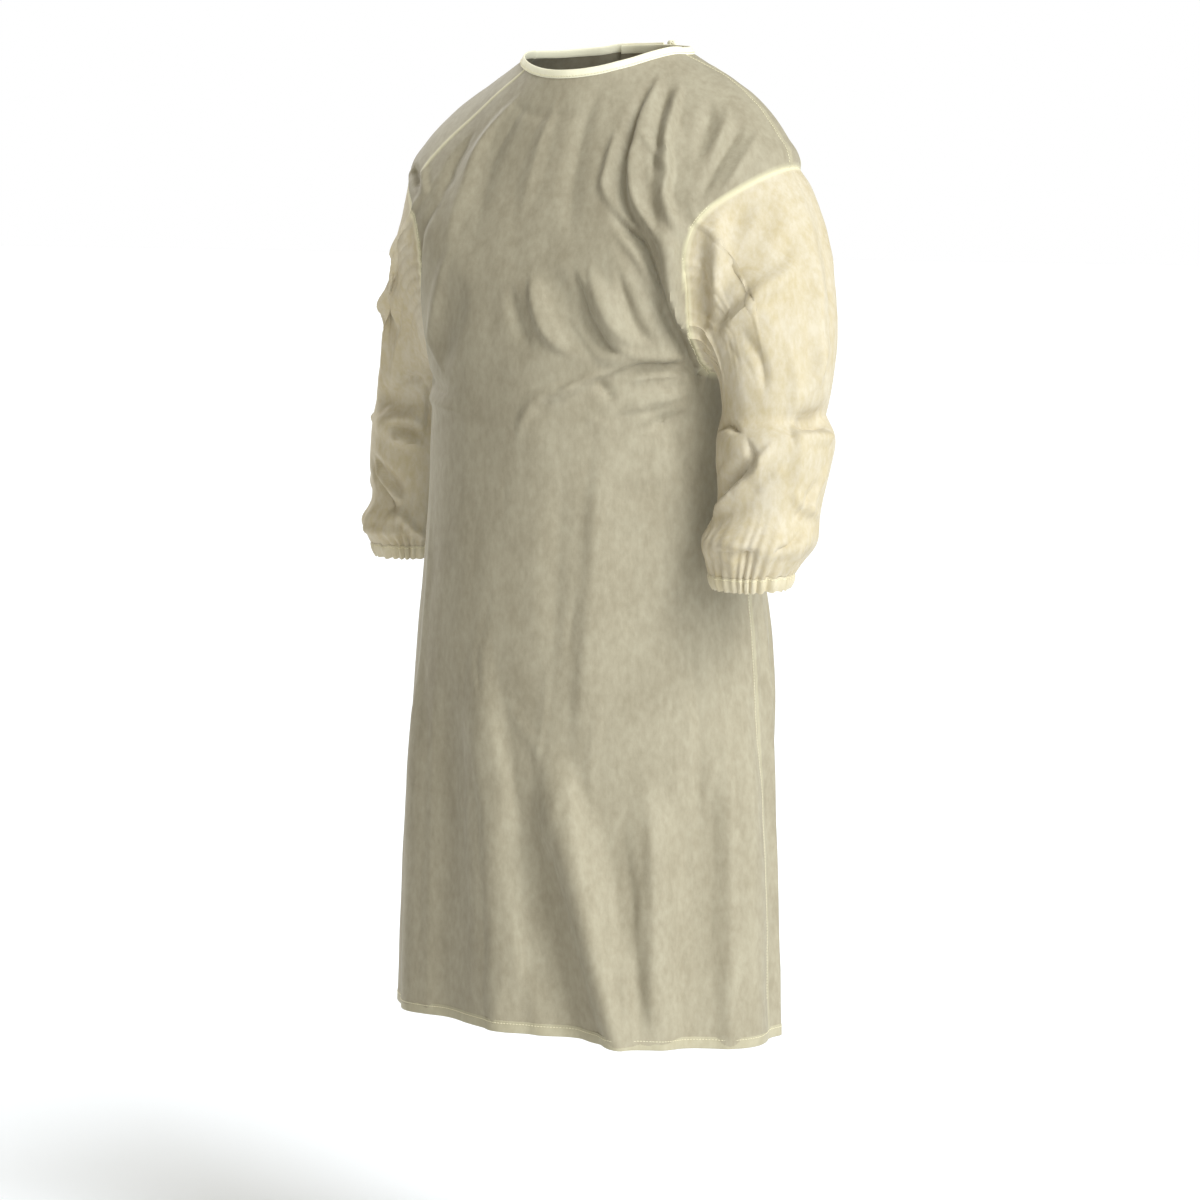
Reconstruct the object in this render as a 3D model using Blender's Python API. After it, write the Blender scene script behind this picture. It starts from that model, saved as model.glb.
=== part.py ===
"""Isolation gown of thin non-woven cloth, hollow and in the shape that it has when it is worn.

Metres, +Z up. The origin is the middle of the neck opening, level with the high points of the shoulders,
where a wearer's shoulders hold the gown up. The front faces -Y and the left sleeve is at +X.

The body is one surface, worked out from a table of sections between the hem and the neckline. The front
and the two backs are cut from it along the side seams, the shoulder seams and the armholes. Each sleeve
grows from its armhole's own points, so the seams match all the way round.
"""

import math
from typing import NamedTuple

import bmesh
import bpy
import numpy as np
from mathutils import Matrix, Vector

# ---------------------------------------------------------------- driving dimensions

CLOTH = 0.0015  # wall of a panel
BINDING = 0.0026  # folded tape at the neckline
BINDING_HEIGHT = 0.010
BINDING_CLIMB = 1.2  # how steeply the binding stands up from the slope of the cloth below it
TAPE = 0.0012  # the ties' cloth
SEAM_GAP = 0.0003  # between two pieces that are sewn together

AROUND = 60  # columns round the body
QUARTER = AROUND // 4  # column 0 is the left side seam, and the centre back, right side and front follow
ARMHOLE_COLUMNS = 6  # from the side line to the armhole's front or back edge
ARMHOLE_ROUNDING = 3  # passes that round off the armhole's corners

LAP_COLUMNS = 3  # how far each back runs past the centre back
LAP_FADE = 3  # columns over which the outer back comes down to its own place
LAP_LIFT = 0.0042  # how far the outer back stands off the inner one

CAP_ROWS = 7  # from the armhole to the first ring that goes round the arm
CAP_CROWDING = 1.4  # above 1, these rows lie closer together near the armhole
LEFT_SWELL = 0.55  # how far a sleeve's head stands out before it falls
RIGHT_SWELL = -0.15
UNDERARM_SWELL = 0.6  # as much again, shared out towards the side by the body
CAP_LEAVE = 0.8  # how far the cloth keeps the seam's direction, as a share of its run
CAP_ARRIVE = 0.9  # and how far before the arm's first ring it takes up that ring's direction
CAP_TUCK = 0.8  # how strongly a swelling head turns back in above the arm
CAP_FALL = 0.06
SEAM_CALM = (0.0, 0.4, 0.8)  # share of a fold's height in the rows next to the armhole
CUFF_HEIGHT = 0.016
CUFF_ROWS = 3
CUFF_WAVES = (0.0, 1.0, 0.0, -1.0)  # two columns of the sleeve carry one gather of the cuff
CUFF_GATHER = 0.0022
CUFF_DEPTHS = (0.0, 1.0, 1.0, 0.8)  # share of the gather's depth in each row, from the seam down
CUFF_TAPER = 0.005  # how much nearer the wrist the cuff's lower edge lies than its upper one

WAIST_KNOT = (0.026, 0.011, 0.020)  # across, out from the back, and up
NECK_KNOT = (0.020, 0.010, 0.014)
NECK_KNOT_RISE = 0.002  # of its middle over the binding's
KNOT_ROUNDING = 0.004
TAIL_LENGTH = 0.20
TAIL_WIDTH = 0.010
TAIL_CLEAR = 0.0012  # more room under a tail, which crosses the columns that the cloth bends at
TAIL_ROWS = 8
TAIL_SPREAD = 0.020  # between the knot's middle and a tail's lower end
TAIL_START = 0.27  # share of the spread that a tail already has at the knot
WAIST_TAIL_RISE = 0.0007  # up beside the rounded lower edge of the waist's knot
NECK_TAIL_COLUMN = QUARTER - LAP_COLUMNS - 1.6  # below the neck's knot
TIE_REACH = QUARTER - 1  # last column of a waist tie before its knot


class BodySection(NamedTuple):
    """A closed ring round the body. Heights and places are in metres, corner is in degrees."""

    name: str
    rows: int  # rows of facets from here up to the next section
    z_side: float
    z_front: float
    z_back: float
    half_width: float
    y_side: float
    y_front: float
    y_back: float
    corner: float  # angle from the side line to the column that bounds the armhole


BODY = [
    BodySection("hem", 2, -1.110, -1.092, -1.150, 0.242, -0.050, -0.228, 0.114, 40),
    BodySection("calf", 2, -0.985, -0.980, -1.000, 0.236, -0.048, -0.225, 0.116, 40),
    BodySection("knee", 3, -0.840, -0.840, -0.850, 0.227, -0.045, -0.220, 0.122, 40),
    BodySection("thigh", 2, -0.690, -0.690, -0.695, 0.216, -0.040, -0.216, 0.128, 40),
    BodySection("seat", 2, -0.570, -0.570, -0.570, 0.204, -0.036, -0.212, 0.126, 38),
    BodySection("waist", 1, -0.460, -0.465, -0.455, 0.196, -0.032, -0.208, 0.110, 33),
    BodySection("tie_low", 1, -0.400, -0.412, -0.396, 0.194, -0.030, -0.206, 0.108, 29),
    BodySection("tie_high", 1, -0.382, -0.396, -0.378, 0.194, -0.029, -0.205, 0.109, 27),
    BodySection("armpit", 2, -0.350, -0.370, -0.352, 0.197, -0.028, -0.203, 0.116, 25),
    BodySection("chest", 2, -0.285, -0.335, -0.300, 0.216, -0.022, -0.200, 0.128, 35),
    BodySection("breast", 2, -0.205, -0.290, -0.240, 0.238, -0.016, -0.193, 0.134, 42),
    BodySection("shoulder", 2, -0.124, -0.248, -0.180, 0.247, -0.012, -0.184, 0.130, 46),
    BodySection("slope_low", 2, -0.090, -0.192, -0.124, 0.227, -0.010, -0.164, 0.120, 45),
    BodySection("slope_mid", 2, -0.054, -0.138, -0.072, 0.192, 0.000, -0.142, 0.108, 43),
    BodySection("slope_top", 2, -0.024, -0.083, -0.028, 0.147, 0.008, -0.122, 0.096, 42),
    BodySection("neckline", 0, 0.000, -0.028, 0.006, 0.102, 0.000, -0.099, 0.078, 42),
]


class ArmSection(NamedTuple):
    """A ring round a sleeve below its armhole, in metres. x is measured out from the body's middle."""

    name: str
    rows: int
    z: float
    x: float
    y: float
    half_width: float
    half_depth: float


LEFT_ARM = [
    ArmSection("upper", 2, -0.396, 0.256, -0.074, 0.054, 0.066),
    ArmSection("elbow", 2, -0.425, 0.264, -0.085, 0.063, 0.070),
    ArmSection("forearm", 2, -0.468, 0.262, -0.088, 0.059, 0.065),
    ArmSection("lower", 1, -0.503, 0.261, -0.096, 0.056, 0.061),
    ArmSection("puff", 2, -0.530, 0.259, -0.113, 0.062, 0.065),
    ArmSection("gather", 1, -0.550, 0.256, -0.117, 0.053, 0.055),
    ArmSection("wrist", 0, -0.566, 0.254, -0.120, 0.045, 0.047),
]
RIGHT_ARM = [
    ArmSection("upper", 2, -0.402, 0.259, -0.004, 0.053, 0.060),
    ArmSection("elbow", 2, -0.430, 0.261, -0.006, 0.055, 0.062),
    ArmSection("forearm", 2, -0.480, 0.262, -0.012, 0.055, 0.060),
    ArmSection("lower", 1, -0.518, 0.261, -0.016, 0.051, 0.057),
    ArmSection("puff", 1, -0.544, 0.267, -0.022, 0.056, 0.060),
    ArmSection("gather", 1, -0.560, 0.265, -0.026, 0.051, 0.054),
    ArmSection("wrist", 0, -0.572, 0.263, -0.028, 0.045, 0.046),
]


class Fold(NamedTuple):
    """A soft ridge or trough that runs over a surface from one point to another.

    An end is an angle in degrees and a height in metres. width is half the fold's breadth, and height is
    positive for a ridge and negative for a trough. An open end keeps its full height past the end.
    """

    name: str
    angle_a: float
    z_a: float
    angle_b: float
    z_b: float
    width: float
    height: float
    open_b: bool = False


# Round the body, 0 is the left side, 90 the back, 180 the right side and 270 the front.
BODY_FOLDS = [
    Fold("front flute", 282, -0.75, 302, -1.09, 0.040, 0.020, open_b=True),
    Fold("front hollow", 272, -0.80, 290, -1.09, 0.038, -0.012, open_b=True),
    Fold("middle flute", 258, -0.62, 268, -1.09, 0.036, 0.010, open_b=True),
    Fold("right front hollow", 244, -0.66, 248, -1.09, 0.040, -0.008, open_b=True),
    Fold("right front flute", 224, -0.68, 230, -1.09, 0.040, 0.010, open_b=True),
    Fold("left front flute", 314, -0.78, 313, -1.09, 0.038, 0.009, open_b=True),
    Fold("left front hollow", 330, -0.74, 327, -1.10, 0.042, -0.010, open_b=True),
    Fold("left side flute", 350, -0.70, 348, -1.10, 0.050, 0.012, open_b=True),
    Fold("left back hollow", 24, -0.66, 22, -1.14, 0.050, -0.012, open_b=True),
    Fold("left back flute", 56, -0.62, 52, -1.14, 0.055, 0.014, open_b=True),
    Fold("right back flute", 126, -0.62, 130, -1.14, 0.055, 0.013, open_b=True),
    Fold("right back hollow", 158, -0.66, 160, -1.14, 0.050, -0.012, open_b=True),
    Fold("shoulder ridge", 320, -0.05, 300, -0.17, 0.030, 0.008),
    Fold("armpit ridge", 306, -0.15, 332, -0.34, 0.030, 0.010),
    Fold("armpit trough", 294, -0.18, 334, -0.36, 0.030, -0.011),
    Fold("chest ridge", 284, -0.24, 310, -0.36, 0.030, 0.008),
    Fold("chest trough", 274, -0.23, 300, -0.34, 0.028, -0.009),
    Fold("waist crease", 292, -0.358, 338, -0.348, 0.024, -0.007),
    Fold("right chest trough", 250, -0.24, 232, -0.36, 0.034, -0.007),
    Fold("left blade fold", 62, -0.12, 34, -0.32, 0.036, 0.009),
    Fold("left blade trough", 48, -0.16, 24, -0.34, 0.034, -0.008),
    Fold("right blade fold", 118, -0.12, 146, -0.32, 0.036, 0.009),
    Fold("right blade trough", 132, -0.16, 156, -0.34, 0.034, -0.008),
]
BODY_RADIUS = 0.2  # turns an angle into a distance when a fold's breadth is measured

# Round a sleeve, 0 is the outer side, 90 the back, 180 the side by the body and 270 the front.
LEFT_SLEEVE_FOLDS = [
    Fold("elbow crease", 296, -0.402, 40, -0.394, 0.024, -0.006),
    Fold("long ridge", 312, -0.16, 268, -0.28, 0.028, 0.009),
    Fold("long hollow", 296, -0.20, 258, -0.29, 0.022, -0.007),
    Fold("hanging edge", 332, -0.26, 238, -0.32, 0.026, -0.008),
    Fold("forearm trough", 288, -0.436, 228, -0.490, 0.022, -0.009),
    Fold("forearm ridge", 308, -0.420, 232, -0.506, 0.020, 0.006),
    Fold("back crease", 60, -0.30, 120, -0.36, 0.026, -0.009),
    Fold("back ridge", 70, -0.22, 100, -0.34, 0.028, 0.008),
    Fold("back elbow hollow", 60, -0.430, 130, -0.440, 0.022, -0.008),
]
RIGHT_SLEEVE_FOLDS = [
    Fold("elbow hollow", 222, -0.400, 320, -0.398, 0.024, -0.009),
    Fold("elbow roll", 222, -0.432, 312, -0.428, 0.020, 0.005),
    Fold("forearm crease", 322, -0.464, 240, -0.515, 0.020, -0.008),
    Fold("front ridge", 300, -0.18, 262, -0.32, 0.030, 0.009),
    Fold("front crease", 322, -0.27, 246, -0.33, 0.024, -0.008),
    Fold("back crease", 60, -0.30, 120, -0.36, 0.026, -0.009),
    Fold("back ridge", 70, -0.22, 100, -0.34, 0.028, 0.008),
    Fold("back elbow hollow", 60, -0.450, 130, -0.455, 0.022, -0.008),
]
SLEEVE_RADIUS = 0.06
FOLD_END = 0.45  # share of its run over which a fold rises from an end
OPEN_FOLD_END = 0.9


# ---------------------------------------------------------------- sections and folds


def rings(sections):
    """Each section of a table as numbers, with those between its rows on a smooth curve through them."""
    table = np.array([section[2:] for section in sections])
    ends = np.vstack([2 * table[0] - table[1], table, 2 * table[-1] - table[-2]])
    found = []
    for number, section in enumerate(sections[:-1]):
        before, start, end, after = ends[number : number + 4]
        for step in range(section.rows):
            u = step / section.rows
            bend = 2 * before - 5 * start + 4 * end - after
            twist = 3 * start - before - 3 * end + after
            found.append(start + 0.5 * u * (end - before + u * (bend + u * twist)))
    return np.array(found + [table[-1]])


def row_of(sections, name):
    """The number of the ring that a named section makes."""
    row = 0
    for section in sections:
        if section.name == name:
            return row
        row += section.rows
    raise ValueError(name)


def column_angle(column, corner):
    """Where a column stands round the body, in radians, when the armhole's edge is at the corner angle."""
    quarter, step = divmod(column % AROUND, QUARTER)
    from_side = step if quarter % 2 == 0 else QUARTER - step
    if from_side <= ARMHOLE_COLUMNS:
        degrees = corner * from_side / ARMHOLE_COLUMNS
    else:
        past = (from_side - ARMHOLE_COLUMNS) / (QUARTER - ARMHOLE_COLUMNS)
        degrees = corner + (90 - corner) * past
    start = (0, 180, 180, 360)[quarter]
    return math.radians(start + degrees if quarter % 2 == 0 else start - degrees)


def smooth(share):
    """0 below 0, 1 above 1, and an even S between them."""
    share = np.clip(share, 0, 1)
    return share * share * (3 - 2 * share)


def unit(vectors):
    """Vectors at length 1."""
    return vectors / np.linalg.norm(vectors, axis=-1, keepdims=True)


def grid_normals(points, closed):
    """The normal at each point of a grid, across its columns and then up its rows."""
    if closed:
        along = np.roll(points, -1, axis=1) - np.roll(points, 1, axis=1)
    else:
        along = np.gradient(points, axis=1)
    return unit(np.cross(along, np.gradient(points, axis=0)))


def folded(points, normals, degrees, folds, radius):
    """The points moved out or in along their normals, where folds run over them."""
    height = np.zeros(points.shape[:-1])
    for fold in folds:
        turn = (fold.angle_b - fold.angle_a + 180) % 360 - 180
        run = np.array([math.radians(turn) * radius, fold.z_b - fold.z_a])
        across = np.radians((degrees - fold.angle_a + 180) % 360 - 180) * radius
        place = np.stack([across, points[..., 2] - fold.z_a], axis=-1)
        along = np.clip(place @ run / (run @ run), 0, 1)
        gap = np.linalg.norm(place - along[..., None] * run, axis=-1)
        if fold.open_b:
            swell = smooth(along / OPEN_FOLD_END)
        else:
            swell = smooth(along / FOLD_END) * smooth((1 - along) / FOLD_END)
        height += fold.height * swell * np.clip(1 - (gap / fold.width) ** 2, 0, 1) ** 2
    return points + normals * height[..., None]


# ---------------------------------------------------------------- the body's surface

ARMPIT_ROW = row_of(BODY, "armpit")
SHOULDER_ROW = row_of(BODY, "shoulder")
SIDE_Y = next(section.y_side for section in BODY if section.name == "armpit")


def body_surface():
    """Points and outward normals of the whole body, a row for each ring and AROUND columns."""
    points = []
    degrees = []
    for z_side, z_front, z_back, half_width, y_side, y_front, y_back, corner in rings(BODY):
        angles = np.array([column_angle(column, corner) for column in range(AROUND)])
        sine = np.sin(angles)
        y_end = np.where(sine < 0, y_front, y_back)
        z_end = np.where(sine < 0, z_front, z_back)
        x = half_width * np.cos(angles)
        y = y_side + (y_end - y_side) * np.abs(sine)
        z = z_side + (z_end - z_side) * sine**2
        points.append(np.stack([x, y, z], axis=-1))
        degrees.append(np.degrees(angles))
    points = np.array(points)
    points = folded(points, grid_normals(points, True), np.array(degrees), BODY_FOLDS, BODY_RADIUS)
    for side in (1, -1):
        loop = tuple(np.transpose(armhole_loop(side)))
        for _ in range(ARMHOLE_ROUNDING):
            edge = points[loop]
            points[loop] = (np.roll(edge, 1, axis=0) + 2 * edge + np.roll(edge, -1, axis=0)) / 4
    return points, grid_normals(points, True)


def armhole_loop(side):
    """Row and column of each point round an armhole, from the shoulder down the back and up the front."""
    reach = range(-ARMHOLE_COLUMNS, ARMHOLE_COLUMNS + 1)
    steps = [(SHOULDER_ROW, offset) for offset in reach if offset >= 0]
    steps += [(row, ARMHOLE_COLUMNS) for row in range(SHOULDER_ROW - 1, ARMPIT_ROW, -1)]
    steps += [(ARMPIT_ROW, offset) for offset in reversed(reach)]
    steps += [(row, -ARMHOLE_COLUMNS) for row in range(ARMPIT_ROW + 1, SHOULDER_ROW)]
    steps += [(SHOULDER_ROW, offset) for offset in reach if offset < 0]
    seam = 0 if side > 0 else 2 * QUARTER
    return [(row, (seam + side * offset) % AROUND) for row, offset in steps]


def into_panel(points, loop):
    """At each point of an armhole, the direction that runs back into the body's cloth."""
    centre = np.mean([points[spot] for spot in loop], axis=0)
    found = []
    for row, column in loop:
        around = [
            points[row + up, (column + over) % AROUND]
            for up in (-1, 0, 1)
            for over in (-1, 0, 1)
            if (row + up, (column + over) % AROUND) not in loop and (up, over) != (0, 0)
        ]
        away = points[row, column] - centre
        outer = [spot for spot in around if (spot - points[row, column]) @ away > 0]
        found.append(np.mean(outer, axis=0) - points[row, column])
    return unit(np.array(found))


# ---------------------------------------------------------------- sleeves and cuffs


def arm_ring(section, angles, side):
    """The points of one ring round an arm."""
    z, x, y, half_width, half_depth = section
    places = [side * (x + half_width * np.cos(angles)), y + half_depth * np.sin(angles)]
    return np.stack([*places, np.full(len(angles), z)], axis=-1)


def sleeve_surface(side, body, arm, folds, swell):
    """Points and outward normals of a sleeve, a row for each ring from the armhole to the wrist."""
    loop = armhole_loop(side)
    start = np.array([body[spot] for spot in loop])
    steps = np.linalg.norm(np.roll(start, -1, axis=0) - start, axis=1)
    armpit = int(np.argmin(start[:, 2] + np.abs(start[:, 1] - SIDE_Y)))
    run = np.concatenate([[0], np.cumsum(steps)])
    back = math.pi * run[: armpit + 1] / run[armpit]
    front = math.pi + math.pi * (run[armpit + 1 : -1] - run[armpit]) / (run[-1] - run[armpit])
    angles = np.concatenate([back, front])

    sections = rings(arm)
    first = arm_ring(sections[0], angles, side)
    second = arm_ring(sections[1], angles, side)
    reach = np.linalg.norm(first - start, axis=1, keepdims=True)
    sideways = np.array([side, 0, 0])
    outward = (swell + UNDERARM_SWELL * (1 - np.cos(angles)))[:, None] * sideways
    leave = unit(outward - into_panel(body, loop)) * reach * CAP_LEAVE
    tuck = CAP_TUCK * max(swell, 0) * np.clip(np.cos(angles), 0, 1)[:, None] * sideways
    arrive = unit(unit(second - first - (0, 0, CAP_FALL)) - tuck) * reach * CAP_ARRIVE
    grid = []
    for row in range(CAP_ROWS):
        u = (row / CAP_ROWS) ** CAP_CROWDING
        grid.append(
            start * (2 * u**3 - 3 * u**2 + 1)
            + leave * (u**3 - 2 * u**2 + u)
            + first * (3 * u**2 - 2 * u**3)
            + arrive * (u**3 - u**2)
        )
    grid += [arm_ring(section, angles, side) for section in sections]
    grid = np.array(grid)
    degrees = np.broadcast_to(np.degrees(angles), grid.shape[:2])
    normals = -side * grid_normals(grid, True)
    share = np.ones(len(grid))
    share[: len(SEAM_CALM)] = SEAM_CALM
    moved = folded(grid, normals, degrees, folds, SLEEVE_RADIUS)
    grid = grid + (moved - grid) * share[:, None, None]
    return grid, -side * grid_normals(grid, True)


def cuff_surface(sleeve, side):
    """Points and outward normals of a gathered cuff that hangs from a sleeve's last ring."""
    edge = sleeve[-1]
    between = (edge + np.roll(edge, -1, axis=0)) / 2
    ring = np.stack([edge, between], axis=1).reshape(-1, 3)
    centre = ring.mean(axis=0)
    out = unit((ring - centre) * (1, 1, 0))
    waves = np.resize(CUFF_WAVES, len(ring))[:, None] * out * CUFF_GATHER
    grid = []
    for row in range(CUFF_ROWS + 1):
        share = row / CUFF_ROWS
        drop = SEAM_GAP + share * (CUFF_HEIGHT - SEAM_GAP)
        grid.append(ring + waves * CUFF_DEPTHS[row] - out * CUFF_TAPER * share - (0, 0, drop))
    grid = np.array(grid)
    return grid, -side * grid_normals(grid, True)


# ---------------------------------------------------------------- walls


def make_material(name, colour, roughness):
    """A Principled material of one colour."""
    material = bpy.data.materials.new(name)
    material.use_nodes = True
    shader = material.node_tree.nodes["Principled BSDF"]
    shader.inputs["Base Color"].default_value = (*colour, 1)
    shader.inputs["Roughness"].default_value = roughness
    shader.inputs["Metallic"].default_value = 0
    return material


def make_object(name, vertices, faces, material):
    """A mesh object that faces outwards, shaded smooth but for its edges."""
    mesh = bpy.data.meshes.new(name)
    mesh.from_pydata([tuple(vertex) for vertex in vertices], [], faces)
    work = bmesh.new()
    work.from_mesh(mesh)
    if work.calc_volume(signed=True) < 0:
        bmesh.ops.reverse_faces(work, faces=work.faces)
    work.to_mesh(mesh)
    work.free()
    mesh.materials.append(material)
    mesh.shade_smooth()
    mesh.set_sharp_from_angle(angle=math.radians(50))
    made = bpy.data.objects.new(name, mesh)
    bpy.context.scene.collection.objects.link(made)
    return made


def wall(name, points, normals, thickness, material, closed=False, keep=None):
    """A closed wall on the cells of a grid, half of its thickness on each side of the points."""
    rows, columns = points.shape[:2]
    cells = [
        (row, column)
        for row in range(rows - 1)
        for column in range(columns if closed else columns - 1)
        if keep is None or keep(row, column)
    ]
    faces = []
    for row, column in cells:
        after = (column + 1) % columns
        a, b = row * columns + column, row * columns + after
        c, d = b + columns, a + columns
        one = np.linalg.norm(points[row, column] - points[row + 1, after])
        other = np.linalg.norm(points[row, after] - points[row + 1, column])
        faces += [(a, b, c), (a, c, d)] if one <= other else [(a, b, d), (b, c, d)]
    edges = {edge for a, b, c in faces for edge in ((a, b), (b, c), (c, a))}
    rim = [(start, end) for start, end in sorted(edges) if (end, start) not in edges]

    used = {vertex: number for number, vertex in enumerate(sorted({v for f in faces for v in f}))}
    flat = points.reshape(-1, 3)[list(used)]
    out = normals.reshape(-1, 3)[list(used)] * thickness / 2
    vertices = np.vstack([flat + out, flat - out])
    inner = len(used)
    whole = [tuple(used[vertex] for vertex in face) for face in faces]
    whole += [tuple(used[vertex] + inner for vertex in reversed(face)) for face in faces]
    for start, end in rim:
        start, end = used[start], used[end]
        whole += [(end, start, start + inner), (end, start + inner, end + inner)]
    return make_object(name, vertices, whole, material)


def pulled_in(points, edge_rows=(), edge_columns=()):
    """The points with their seam edges drawn half a seam's gap into the piece."""
    points = points.copy()
    for row in edge_rows:
        inner = row + 1 if row == 0 else row - 1
        points[row] += unit(points[inner] - points[row]) * SEAM_GAP / 2
    for column in edge_columns:
        inner = 1 if column == 0 else column - 1
        points[:, column] += unit(points[:, inner] - points[:, column]) * SEAM_GAP / 2
    return points


# ---------------------------------------------------------------- places on the back


def lap_lift(column):
    """How far the outer back stands off the body's surface at a column."""
    past = column - QUARTER - LAP_COLUMNS
    return LAP_LIFT * (1 - smooth(past / LAP_FADE))


def on_grid(grid, row, column):
    """A point between a grid's points."""
    low, left = min(int(row), len(grid) - 2), int(column)
    up, over = row - low, column - left
    lower = grid[low, left] * (1 - over) + grid[low, left + 1] * over
    upper = grid[low + 1, left] * (1 - over) + grid[low + 1, left + 1] * over
    return lower * (1 - up) + upper * up


def row_at_height(grid, column, height):
    """The fractional row where a column of the body reaches a height."""
    left = int(column)
    heights = grid[:, left, 2] + (grid[:, left + 1, 2] - grid[:, left, 2]) * (column - left)
    return float(np.interp(height, heights, np.arange(len(grid))))


def make_knot(name, middle, out, size, material):
    """A soft square knot, with its flat side square to the direction out."""
    up = Vector((0, 0, 1))
    across = up.cross(Vector(out)).normalized()
    away = across.cross(up).normalized()
    work = bmesh.new()
    bmesh.ops.create_cube(work, size=1, matrix=Matrix.Diagonal((*size, 1)))
    bmesh.ops.bevel(work, geom=work.edges[:], offset=KNOT_ROUNDING, segments=2, affect="EDGES", profile=0.5)
    turn = Matrix((across, away, up)).transposed().to_4x4()
    bmesh.ops.transform(work, matrix=Matrix.Translation(Vector(middle)) @ turn, verts=work.verts)
    bmesh.ops.triangulate(work, faces=work.faces[:])
    vertices = [vertex.co.copy() for vertex in work.verts]
    faces = [tuple(vertex.index for vertex in face.verts) for face in work.faces]
    work.free()
    return make_object(name, vertices, faces, material)


def make_tail(name, body, normals, column, top, lean, material):
    """A tape that hangs down the back from a knot, clear of the cloth that it lies over."""
    grid = []
    out = []
    rise = CLOTH / 2 + TAPE / 2 + SEAM_GAP + TAIL_CLEAR + lap_lift(column)
    for step in range(TAIL_ROWS + 1):
        share = step / TAIL_ROWS
        height = top - share * TAIL_LENGTH
        facing = on_grid(normals, row_at_height(body, column, height), column)
        row = row_at_height(body, column, height - facing[2] * rise)
        across = unit(np.cross((0, 0, 1), facing))
        aside = across * lean * (TAIL_START + (1 - TAIL_START) * share)
        middle = on_grid(body, row, column) + facing * rise + aside
        grid.append([middle - across * TAIL_WIDTH / 2, middle + across * TAIL_WIDTH / 2])
        out.append([facing, facing])
    return wall(name, np.array(grid), np.array(out), TAPE, material)


# ---------------------------------------------------------------- the garment


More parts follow.
